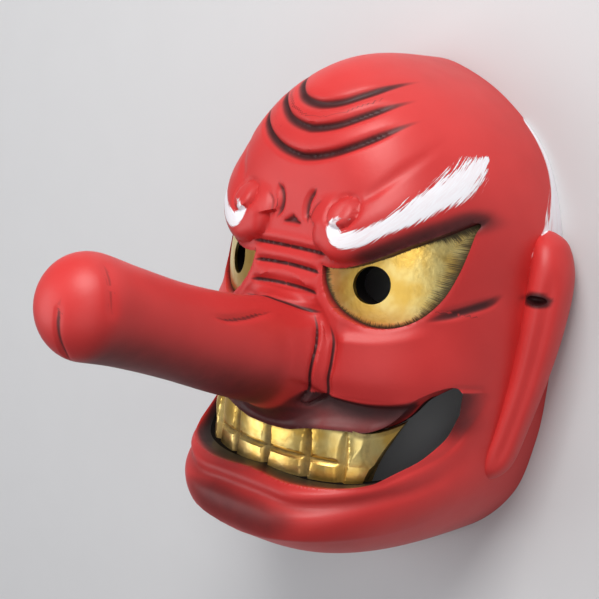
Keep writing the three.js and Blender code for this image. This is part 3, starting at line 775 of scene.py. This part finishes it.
def line_values(points, on_face):
    """For the thin dark lines, painted shade in the carved creases that stands partly for the mask's own dark
    paint: signed distance over half width of the nearest line, and its darkness, which falls to 0 away from
    every line."""
    x, y, z = points.T
    side = np.abs(x)
    ratio, weight = np.full(x.shape, 3.0), np.zeros(x.shape)

    def add(gap, place, width, strength, fade_in, fade_out, where=1):
        """Takes a line in where it is nearer, for its width, than those before it."""
        run = ramp(-0.02, fade_in + 0.02, place) * (1 - ramp(1 - fade_out, 1.01, place))
        share = np.clip(gap / (width * (0.45 + 0.55 * run)), -3, 3)
        better = np.abs(share) < np.abs(ratio)
        ratio[better] = share[better]
        weight[better] = (strength * run ** 0.6 * where * ramp(2.2, 1.4, np.abs(share)))[better]

    for fold in FOLDS:
        add(*near(fold, side, y, 12), 2.3, 1.0, 0, 0.25, on_face)
    bridge = (z < BRIDGE_TOP) * (z > BRIDGE_FOOT)
    for middle, half, fall in BRIDGE_WRINKLES:
        out = side / half
        add(y - middle + fall * out ** 2, np.minimum(out, 1), 1.1, 0.95, 0, 0.2, bridge * (out < 1))
    for line, reach, *paint in (
            (FROWN[0], 8, 1.3, 0.75, 0.25, 0.3), (FROWN[1], 8, 0.9, 0.35, 0.3, 0.4),
            (UPPER_CROW_FOOT, 10, 2.4, 0.95, 0, 0.5), (CROW_FOOT, 10, 2.2, 0.9, 0.3, 0.35)):
        add(*near(line, side, y, reach), *paint, on_face)
    add(*foot_gap(WING_OUTLINE, x, y, z), 0.9, 0.9, 0.1, 0.1)
    add(*foot_gap(LOW_WRINKLE, x, y, z, 8), 1.1, 0.9, 0, 0.25)
    add(*near(TIP_GROOVE, x, y, 6, z, BULB_MIDDLE), 1.2, 0.75, 0.3, 0.3)
    add(*near(BULB_CREASE, side, y, 6, z, BULB_MIDDLE), 0.7, 0.35, 0.3, 0.5)
    add(*near(SHAFT_GROOVE, side, y, 6, z, SHAFT_MIDDLE), 1.5, 0.6, 0.25, 0.4)
    return ratio, weight


def soft_shade(side, y, z, depth, on_face):
    """Soft painted shade under the brow, over the upper lip, in the lip's groove, in the notch, along the
    nose's underside, round the eyes and in the ear's slit: the darkest of them at each point."""
    distance, place = near(BROW, side, y)
    lid = ramp(-2.5, -8.5, distance) * ramp(-17, -10, distance) * ramp(0.12, 0.3, place)
    lid *= 1 - ramp(0.85, 1, place)
    distance, _ = near(CHEEK_EDGE, side, y)
    lip = ramp(1.0, -1.5, distance) * ramp(-24, -12, distance) * (y < -34) * ramp(74, 66, side)
    middle_lip = ramp(-40, -48, y) * ramp(-66, -60, y) * ramp(36, 20, side)
    upper, _ = near(UPPER_LIP, side, y, 8)
    groove_gap, place = near(LIP_GROOVE, side, y, 14)
    eye, _ = near(EYE_OUTLINE, side, y, 8)
    shades = [
        0.8 * lid * on_face,
        (0.93 - 0.3 * ramp(-4, -11, distance)) * lip * on_face,
        0.85 * middle_lip * on_face,
        0.85 * ramp(1.6, 0.2, np.abs(upper)) * ramp(60, 50, side) * on_face,
        0.3 * bell(groove_gap, 0, 3) * (1 - ramp(0.7, 1, place)) * on_face,
        0.85 * ramp(-0.4, 0.8, notch_depth(side, y)) * on_face,
        0.6 * ramp(4, -18, y - nose_axis(z)) * ramp(99, 110, z) * ramp(207, 190, z),
        0.95 * ramp(1.5, 0.2, np.abs(eye)) * ramp(0.5, 1.4, depth + 1.0 * (eye > 0)),
        ramp(1.9, 1.0, slit_distance(side, y, z)),
    ]
    return np.maximum.reduce(shades)


def in_pupil(side, y):
    """Whether a point is within the round hole, or just on its wall."""
    return np.hypot(side - PUPIL[0], y - PUPIL[1]) < sizes().pupil_diameter * 500 + 0.4


def face_values(points):
    """What the paint follows: painted shade along the dark lines, soft painted shade, the black painted shade
    deep in the mouth and pupils, and where a point lies on the brush strokes of the brow and the temple."""
    x, y, z = points.T
    side = np.abs(x)
    depth = face_height_at(x, y) - z
    on_face = ramp(9, 5, np.abs(depth))
    line, crease_shade_weight = line_values(points, on_face)
    mouth, _ = near(mouth_outline(), side, y, 30)
    inner = (mouth < 0.4) & (np.abs(mouth) < NEAR)
    # Painted shade down the mouth's walls; black painted shade deeper in the mouth and on the pupils' walls
    shade = np.where(inner, 0.95 * ramp(0.2, 3.5, depth), 0)
    shade = np.maximum(soft_shade(side, y, z, depth, on_face), shade)
    soot = np.maximum(np.where(inner & (z > 0), ramp(2, 9, depth), 0), in_pupil(side, y) * 1.0)

    stroke, place = near(BROW_STROKE, side, y, 18, z)
    brow = np.where(np.abs(stroke) < NEAR, np.abs(stroke) / through(BROW_STROKE_WIDTH, place), 9)
    fray = np.clip(0.35 * ramp(-2, 4, stroke) + 0.75 * ramp(0.72, 1, place), 0, 1)
    angle, radius = polar(x, y)
    degrees = np.degrees(np.abs(angle))
    hair = z / np.maximum(through(TEMPLE_HAIR, degrees), 0.3)
    share = radius / rim_radius(angle)
    hair += 9 * (ramp(57, 66, degrees) + ramp(26, 19, degrees) + ramp(1.005, 1.02, share))
    return {
        "shade": shade, "soot": soot, "line": line, "crease_shade_weight": crease_shade_weight, "brow_edge": brow,
        "brow_run": place * 85, "brow_side": np.clip(stroke, -20, 20), "brow_fray": fray,
        "hair_edge": np.clip(hair, 0, 9), "hair_run": degrees,
    }


class Bench:
    """One material being wired: short ways to add nodes and join them."""

    def __init__(self, name):
        self.material = bpy.data.materials.new(name)
        self.material.use_nodes = True
        self.tree = self.material.node_tree
        self.shader = self.tree.nodes["Principled BSDF"]

    def plug(self, socket, value):
        if isinstance(value, bpy.types.NodeSocket):
            self.tree.links.new(value, socket)
        else:
            socket.default_value = value

    def add(self, kind, output=0, **inputs):
        """A node with its properties set and its sockets filled: by name, or by number as i0, i1, i2."""
        node = self.tree.nodes.new(kind)
        for name in sorted(inputs, key=lambda name: name not in node.bl_rna.properties):
            if name in node.bl_rna.properties:
                setattr(node, name, inputs[name])
            else:
                self.plug(node.inputs[int(name[1:]) if name[1:].isdigit() else name], inputs[name])
        return node.outputs[output]

    def maths(self, operation, first, second=0.0, third=0.0, clamp=False):
        return self.add("ShaderNodeMath", operation=operation, use_clamp=clamp, i0=first, i1=second, i2=third)

    def times(self, first, second, clamp=False):
        return self.maths("MULTIPLY", first, second, clamp=clamp)

    def scaled(self, value, factor, plus):
        return self.maths("MULTIPLY_ADD", value, factor, plus)

    def less(self, first, second):
        return self.maths("SUBTRACT", first, second)

    def most(self, first, second):
        return self.maths("MAXIMUM", first, second)

    def value(self, name):
        return self.add("ShaderNodeAttribute", output=2, attribute_name=name)

    def noise(self, vector, scale, detail=2.0, roughness=0.5):
        return self.add("ShaderNodeTexNoise", Vector=vector, Scale=scale, Detail=detail, Roughness=roughness)

    def brushed(self, across, fine, along, coarse, roughness=0.6):
        """Noise drawn out along a stroke, from a fine scale across it and a coarse one along it."""
        spot = self.add("ShaderNodeCombineXYZ", X=self.times(across, fine), Y=self.times(along, coarse))
        return self.noise(spot, 1, 3, roughness)

    def step(self, value, low, high, start=0.0, end=1.0):
        """start below low, end above high, smooth between."""
        return self.add("ShaderNodeMapRange", interpolation_type="SMOOTHSTEP", Value=value,
                        i1=low, i2=high, i3=start, i4=end)

    def blend(self, share, first, second):
        node = self.tree.nodes.new("ShaderNodeMix")
        node.data_type = "RGBA"
        self.plug(node.inputs[0], share)
        self.plug(node.inputs[6], first)
        self.plug(node.inputs[7], second)
        return node.outputs[2]

    def place(self):
        return self.add("ShaderNodeTexCoord", output=3)

    def bump(self, height, distance, strength):
        return self.add("ShaderNodeBump", Height=height, Distance=distance, Strength=strength)

    def finish(self, **inputs):
        for name, value in inputs.items():
            self.plug(self.shader.inputs[name.replace("_", " ")], value)
        return self.material


def carved_lacquer():
    """Satin red lacquer, a little uneven, with white brush strokes and painted shade: soft in the hollows,
    darker in the carved lines, where it stands partly for the mask's own dark paint, and black deep in the
    mouth and pupils.
    """
    tint, bench = colours(), Bench("carved_lacquer")
    place = bench.place()
    cloud = bench.noise(place, 16, 3, 0.55)
    grain = bench.noise(place, 90, 4, 0.6)
    fine = bench.noise(place, 620, 2, 0.5)
    base = bench.blend(bench.step(cloud, 0.35, 0.68), tint.deep_lacquer[:], tint.lacquer[:])
    # Painted shade from the soft shade and the carved creases, first maroon then the shadow colour, and black
    # painted shade deep in the mouth and pupils
    shade = bench.value("shade")
    uneven = bench.scaled(grain, 0.5, 0.75)
    dark = bench.times(shade, uneven, clamp=True)
    core = bench.step(bench.maths("ABSOLUTE", bench.value("line")), 1.15, 0.15)
    crease_shade = bench.times(core, bench.value("crease_shade_weight"), clamp=True)
    dark = bench.most(dark, bench.times(crease_shade, uneven, clamp=True))
    base = bench.blend(bench.step(dark, 0.0, 0.65), base, tint.maroon[:])
    base = bench.blend(bench.step(dark, 0.5, 1.0), base, tint.shadow[:])
    base = bench.blend(bench.value("soot"), base, tint.soot[:])
    run, side = bench.value("brow_run"), bench.value("brow_side")
    lean = bench.less(side, bench.times(run, 0.24))
    hairs = bench.brushed(lean, 1.7, run, 0.1)
    edge = bench.value("brow_edge")
    reach = bench.scaled(bench.value("brow_fray"), 3.2, 0.9)
    paint = bench.scaled(bench.less(hairs, 0.5), reach, bench.less(1.0, edge))
    brow = bench.step(paint, 0.0, 0.25)
    turn, rim = bench.value("hair_run"), bench.value("hair_edge")
    wisps = bench.brushed(rim, 5.5, turn, 0.11)
    temple = bench.step(bench.less(bench.scaled(wisps, 1.5, 0.2), rim), 0.0, 0.25)
    white = bench.most(brow, temple)
    streak = bench.step(bench.most(hairs, wisps), 0.3, 0.6, 0.78, 1.0)
    base = bench.blend(bench.times(white, streak), base, tint.hair[:])
    rough = bench.scaled(grain, 0.14, 0.40)
    rough = bench.scaled(white, 0.22, rough)
    rough = bench.scaled(dark, 0.12, rough)
    relief = bench.scaled(white, bench.times(streak, 0.9), bench.times(fine, 0.25))
    relief = bench.scaled(grain, 0.35, relief)
    normal = bench.bump(relief, 0.0002, 0.8)
    return bench.finish(
        Base_Color=base, Roughness=rough, Normal=normal, IOR=1.45, Coat_Weight=0.06, Coat_Roughness=0.3)


def gold_leaf():
    """Gold leaf, paler in patches, amber towards the bottom, under umber strokes that run in from the edge
    and painted shade in the teeth's cuts, along their edges under the lips and where the band lies back.
    """
    tint, bench = colours(), Bench("gold_leaf")
    place = bench.place()
    cloud = bench.noise(place, 55, 3, 0.6)
    grain = bench.noise(place, 420, 3, 0.6)
    base = bench.blend(bench.step(cloud, 0.38, 0.66), tint.gold[:], tint.pale_gold[:])
    glaze = bench.times(bench.value("glaze"), bench.scaled(cloud, 0.6, 0.6), clamp=True)
    base = bench.blend(glaze, base, tint.amber[:])
    gap, run = bench.value("rim_gap"), bench.value("rim_run")
    strokes = bench.brushed(run, 2.6, gap, 0.7, 0.65)
    dark = bench.step(bench.less(bench.scaled(strokes, 1.9, -0.1), gap), -0.15, 0.75)
    # Painted shade on the teeth: in the cuts, under the lips and where the band lies back
    wash = bench.times(bench.value("wash"), bench.scaled(grain, 0.7, 0.55), clamp=True)
    dark = bench.most(bench.times(dark, 0.95), wash)
    base = bench.blend(dark, base, tint.umber[:])
    rough = bench.scaled(grain, 0.16, 0.24)
    rough = bench.scaled(dark, 0.25, rough)
    metal = bench.scaled(dark, -0.75, 1.0)
    normal = bench.bump(bench.maths("ADD", grain, bench.times(cloud, 1.5)), 0.0002, 0.5)
    return bench.finish(Base_Color=base, Roughness=rough, Metallic=metal, Normal=normal)


def inside_lacquer():
    """Plain dark lacquer in the hollow, with the faint furrows of the gouge."""
    tint, bench = colours(), Bench("inside_lacquer")
    place = bench.place()
    gouge = bench.noise(bench.add("ShaderNodeMapping", Vector=place, Scale=(60, 18, 30)), 1.6, 2, 0.5)
    cloud = bench.noise(place, 24, 3, 0.6)
    base = bench.blend(bench.step(cloud, 0.35, 0.7), tint.inside[:], toned(tint.inside, 1.9))
    rough = bench.scaled(gouge, 0.2, 0.6)
    return bench.finish(
        Base_Color=base, Roughness=rough, Normal=bench.bump(gouge, 0.0006, 0.7), Specular_IOR_Level=0.2)


def mouth_painted_shade():
    """Dull black painted shade deep in the mouth and on the walls of the round holes."""
    tint, bench = colours(), Bench("mouth_painted_shade")
    return bench.finish(Base_Color=tint.soot[:], Roughness=0.9, Specular_IOR_Level=0.08)


def pale_floor():
    tint, bench = colours(), Bench("pale_floor")
    speck = bench.noise(bench.place(), 40, 3, 0.5)
    return bench.finish(Base_Color=bench.blend(speck, toned(tint.floor, 0.97), tint.floor[:]), Roughness=0.8)


def toned(colour, factor):
    """The colour times a factor."""
    return tuple(min(1, factor * value) for value in colour[:3]) + (1,)


def shared(maker):
    """The material of that maker, made once."""
    return bpy.data.materials.get(maker.__name__) or maker()


class CarveFace(bpy.types.Operator):
    """Carve the face, ears and nose from one block and hollow it"""
    bl_idname = "tengu.carve_face"
    bl_label = "Carve the face"

    def execute(self, context):
        face = make_object("carved_face", outer_form())
        mouth, inside = make_object("mouth", mouth_block()), make_object("hollow", hollow())
        carve(face, [
            *self.pair("ear", ear, "UNION"), *self.pair("ear_slit", ear_slit),
            *self.pair("socket", eye_socket), (mouth, "DIFFERENCE"), (inside, "DIFFERENCE"),
            *self.pair("pupil", pupil_hole),
        ])
        keep_values(face.data, **face_values(corners_of(face.data)))
        finish_piece(face, 42, shared(carved_lacquer), shared(inside_lacquer), shared(mouth_painted_shade))
        self.paint(face.data)
        return {"FINISHED"}

    def pair(self, name, body, operation="DIFFERENCE"):
        """A tool on the left and its mirror image on the right."""
        return [(make_object(f"{name}_{k}", body(), k > 0), operation) for k in (0, 1)]

    def paint(self, mesh):
        """Gives each face its material: lacquer, the hollow's where the face lies on the hollow's form or in
        the nose's root, and the black painted shade deep in the mouth and in the pupils."""
        centres = np.empty(len(mesh.polygons) * 3)
        mesh.polygons.foreach_get("center", centres)
        x, y, z = drawn(centres.reshape(-1, 3)).T
        size, side = sizes(), np.abs(x)
        angle, radius = polar(x, y)
        p, q = squareness(angle)
        share = radius / (rim_radius(angle) - size.side_wall * 1000)
        level = np.clip(z / (through(MIDDLE, y) - size.front_wall * 1000), 0, 9)
        behind = (share ** p + level ** q < 1.04) & (z > 0.01)
        low, high, reach = NOSE_INSIDE
        behind |= (z > low) & (z < high) & (np.hypot(x, y - nose_axis(z)) < reach)
        behind &= slit_distance(side, y, z) > 1.1
        mouth, _ = near(mouth_outline(), side, y, 30)
        deep = (mouth < 0.6) & (np.abs(mouth) < NEAR) & (z > 0.01) & (face_height_at(x, y) - z > BLACK_FROM)
        deep |= in_pupil(side, y)
        mesh.polygons.foreach_set("material_index", np.where(deep, 2, behind).astype(np.int32))
        mesh.update()


class SetEyes(bpy.types.Operator):
    """Set the gilded eyeballs behind the lids, each with a round hole"""
    bl_idname = "tengu.set_eyes"
    bl_label = "Set the eyes"

    def execute(self, context):
        for k, name in enumerate(("left_eye", "right_eye")):
            eye = make_object(name, self.shell(), k > 0)
            x, y, _ = corners_of(eye.data).T
            side = np.abs(x)
            gap, place = near(EYE_OUTLINE, side, y, 40)
            gap = np.abs(gap)
            reach = 1.5 + 6.5 * ramp(48, 62, side) + 1.6 * ramp(27, 20, side) + 0.9 * ramp(0, -8, y)
            reach *= 1 - 0.6 * ramp(0.62, 0.68, place) * ramp(62, 54, side)
            # Amber towards the bottom of the eye and at its inner side
            amber = ramp(4, -9, y) * 0.6 + 0.35 * ramp(30, 22, side)
            keep_values(
                eye.data, rim_gap=gap / reach, rim_run=place * 165, glaze=amber, wash=np.zeros_like(x))
            finish_piece(eye, 40, shared(gold_leaf))
        return {"FINISHED"}

    def shell(self):
        """A thin shell over the eyeball, from the round hole out to the eye's outline: points run in
        straight lines from one to the other, and their height is the eyeball's."""
        line = eye_rim(0.5)
        hole = PUPIL + unit(line - PUPIL) * sizes().pupil_diameter * 500 * [PUPIL_NARROW, 1]
        share = np.linspace(0, 1, 34)[:, None, None]
        grid = hole + (line - hole) * share
        x, y = grid[..., 0], grid[..., 1]
        top = np.stack([x, y, eyeball_height(x, y)], -1)
        low = top - [0, 0, SHELL_WALL]
        rows, columns = x.shape
        number = np.arange(rows * columns).reshape(rows, columns)
        faces = []
        for a, b in zip(number[:-1], number[1:]):
            faces += strip(a, b)
            faces += [face[::-1] for face in strip(a + rows * columns, b + rows * columns)]
        faces += [face[::-1] for face in strip(number[0], number[0] + rows * columns)]
        faces += strip(number[-1], number[-1] + rows * columns)
        return np.concatenate([top.reshape(-1, 3), low.reshape(-1, 3)]), faces


class SetTeeth(bpy.types.Operator):
    """Set the gilded band of teeth behind the lips"""
    bl_idname = "tengu.set_teeth"
    bl_label = "Set the teeth"

    def execute(self, context):
        teeth = make_object("teeth", self.band())
        x, y, z = corners_of(teeth.data).T
        upper, lower = self.edges(x)
        # Painted shade on the teeth: in the cuts, along the edges under the lips, and where the band lies
        # back from its front
        under_lip_shade = np.maximum(ramp(3.2, 1.2, upper - y), ramp(3.6, 1.6, y - lower))
        wash = np.maximum.reduce([self.cuts(x, y)[1], 0.75 * under_lip_shade, 0.9 * ramp(0.4, 3, self.front(x) - z)])
        # Amber towards the lower row of teeth
        amber = 0.1 + 0.25 * ramp(-64, -74, y)
        keep_values(teeth.data, rim_gap=np.full_like(x, 9), rim_run=x, glaze=amber, wash=wash)
        finish_piece(teeth, 24, shared(gold_leaf))
        return {"FINISHED"}

    def past_bend(self, x):
        """0 up to where the band bends back, 1 at its ends."""
        return np.maximum(np.abs(x) - TEETH_BEND_FROM, 0) / (TEETH_END - TEETH_BEND_FROM)

    def front(self, x):
        """The band's plane, which falls back with the square of the distance from the middle, and more at
        its ends."""
        return TEETH_FRONT - 8.3 * (x / 35) ** 2 - TEETH_BEND * self.past_bend(x) ** 2

    def edges(self, x):
        """Upper and lower edge of the band: a little under each lip."""
        side = np.abs(x)
        upper = through(UPPER_LIP[:8], side) + 2.0 - 2.2 * ramp(26, 44, side)
        return upper, through(LOWER_LIP[:6], side) - 2.5

    def cuts(self, x, y):
        """Depth of the cuts and their painted shade: an upright lens at each place, a V along the line
        between the rows, and a step at the last tooth's rounded edge."""
        depth, dark = np.zeros_like(x), np.zeros_like(x)
        for place in TOOTH_CUTS:
            soft = 0.7 if abs(place) == TOOTH_CUTS[-1] else 1
            half = 2.7 * np.sqrt(np.clip(1 - ((y - CUT_Y) / CUT_REACH) ** 2, 0.0004, 1))
            lens = np.clip(1 - np.abs(x - place) / half, 0, 1)
            depth = np.maximum(depth, 2.1 * soft * lens)
            dark = np.maximum(dark, 0.72 * soft * ramp(0.1, 0.6, lens))
        ends = ramp(36, 31, np.abs(x))
        bite = np.clip(1 - np.abs(y - BITE_Y - 0.5) / 1.7, 0, 1) * ends
        depth = np.maximum(depth, 1.5 * bite)
        dark = np.maximum(dark, 0.8 * ramp(0.25, 0.9, bite))
        gap, _ = near(LAST_TOOTH, np.abs(x), y, 20)
        past = np.where(np.abs(gap) < NEAR, ramp(-0.6, 1.0, gap), 0)
        return depth + 2.2 * past, np.maximum(dark, 0.6 * bell(gap, 0.4, 0.8))

    def band(self):
        """A slab with pillowed tooth fronts: the plane, plus a low arch over each tooth, less the cuts."""
        columns, rows = 211, 61
        x = np.linspace(-TEETH_END, TEETH_END, columns)
        upper, lower = self.edges(x)
        share = np.linspace(0, 1, rows)[:, None]
        y = lower + (upper - lower) * share
        x = x * (1 - 0.17 * (1 - share) * self.past_bend(x) ** 2)
        places = np.array([-TEETH_END, *TOOTH_CUTS, TEETH_END])
        i = np.clip(np.searchsorted(places, x, side="right") - 1, 0, len(places) - 2)
        arch = 1 - ((x - (places[i] + places[i + 1]) / 2) / ((places[i + 1] - places[i]) / 2)) ** 2
        row = 1 - np.clip(np.abs(np.where(y > BITE_Y, (y + 61.5) / 7.5, (y + 73) / 6.5)), 0, 1) ** 2
        ridge, _ = near(TOOTH_RIDGE, np.abs(x), y, 9)
        facet = 0.9 * np.exp(-np.abs(ridge) / 2.6) * (np.abs(ridge) < NEAR)
        z = self.front(x) + 0.7 * arch + 0.5 * row + facet - self.cuts(x, y)[0]
        back = np.stack([x * 0.94, y, self.front(x) - sizes().tooth_thickness * 1000], -1)
        return slab(np.stack([x, y, z], -1), back)


class SetStage(bpy.types.Operator):
    """Lay the floor, and set the camera and the lights"""
    bl_idname = "tengu.set_stage"
    bl_label = "Set the stage"

    def execute(self, context):
        size = sizes()
        line = np.linspace(-FLOOR_REACH, FLOOR_REACH, 9)
        x, y = np.meshgrid(line, line)
        floor = bpy.data.meshes.new("floor")
        number = np.arange(x.size).reshape(x.shape)
        corners = np.stack([x, y, np.full_like(x, FLOOR_Z)], -1).reshape(-1, 3)
        floor.from_pydata(corners.tolist(), [], quads(number).tolist())
        floor.materials.append(shared(pale_floor))
        stand = bpy.data.objects.new("floor", floor)
        context.scene.collection.objects.link(stand)

        camera = bpy.data.cameras.new("camera")
        camera.sensor_width, camera.lens, camera.clip_start = 36, CAMERA_LENS, 0.02
        eye = bpy.data.objects.new("camera", camera)
        turn = Matrix((CAMERA_RIGHT, CAMERA_UP, CAMERA_BACK)).transposed().to_4x4()
        eye.matrix_world = Matrix.Translation(CAMERA) @ turn
        context.scene.collection.objects.link(eye)
        context.scene.camera = eye

        cool, white = (0.98, 0.99, 1.0), (1.0, 1.0, 1.0)
        self.light(context, "key_light", (0.16, 0.80, 0.58), 1.0, size.key_size, 10, (1.0, 0.98, 0.96))
        self.light(context, "fill_light", (-0.62, -0.05, 0.78), 1.2, 0.9, 6, cool)
        self.light(context, "front_light", (0.55, -0.15, 0.82), 1.5, 1.1, 4.0, white)
        self.light(context, "eye_light", (0.62, 0.36, 0.70), 1.5, 0.22, 1.3, white)
        world = bpy.data.worlds.new("studio")
        world.use_nodes = True
        sky = world.node_tree.nodes["Background"].inputs
        sky["Color"].default_value, sky["Strength"].default_value = (0.93, 0.95, 1.0, 1), 0.2
        context.scene.world = world
        context.scene.view_settings.view_transform = "Standard"
        return {"FINISHED"}

    def light(self, context, name, direction, distance, edge, power, tint):
        """A square lamp in that direction from the middle of the face, turned to it."""
        lamp = bpy.data.lights.new(name, "AREA")
        lamp.shape, lamp.size, lamp.energy, lamp.color = "SQUARE", edge, power, tint
        stand = bpy.data.objects.new(name, lamp)
        direction = Vector(direction).normalized()
        stand.location = Vector(LIT_POINT) + direction * distance
        stand.rotation_euler = direction.to_track_quat("Z", "Y").to_euler()
        context.scene.collection.objects.link(stand)


class MaskPanel(bpy.types.Panel):
    """The mask's sizes, colours and steps"""
    bl_idname = "VIEW3D_PT_tengu_mask"
    bl_label = "Tengu mask"
    bl_space_type = "VIEW_3D"
    bl_region_type = "UI"
    bl_category = "Mask"

    def draw(self, context):
        for group in (context.scene.tengu_sizes, context.scene.tengu_colours):
            box = self.layout.box()
            for name in group.__annotations__:
                box.prop(group, name, text=name.replace("_", " ").capitalize())
        for step in STEPS:
            self.layout.operator(step.bl_idname)


STEPS = (CarveFace, SetEyes, SetTeeth, SetStage)
CLASSES = (MaskSizes, MaskColours, *STEPS, MaskPanel)


def register():
    for item in CLASSES:
        bpy.utils.register_class(item)
    bpy.types.Scene.tengu_sizes = bpy.props.PointerProperty(type=MaskSizes)
    bpy.types.Scene.tengu_colours = bpy.props.PointerProperty(type=MaskColours)


def unregister():
    del bpy.types.Scene.tengu_colours
    del bpy.types.Scene.tengu_sizes
    for item in reversed(CLASSES):
        bpy.utils.unregister_class(item)


def main():
    register()
    bpy.ops.tengu.carve_face()
    bpy.ops.tengu.set_eyes()
    bpy.ops.tengu.set_teeth()
    bpy.ops.tengu.set_stage()


if __name__ == "__main__":
    main()
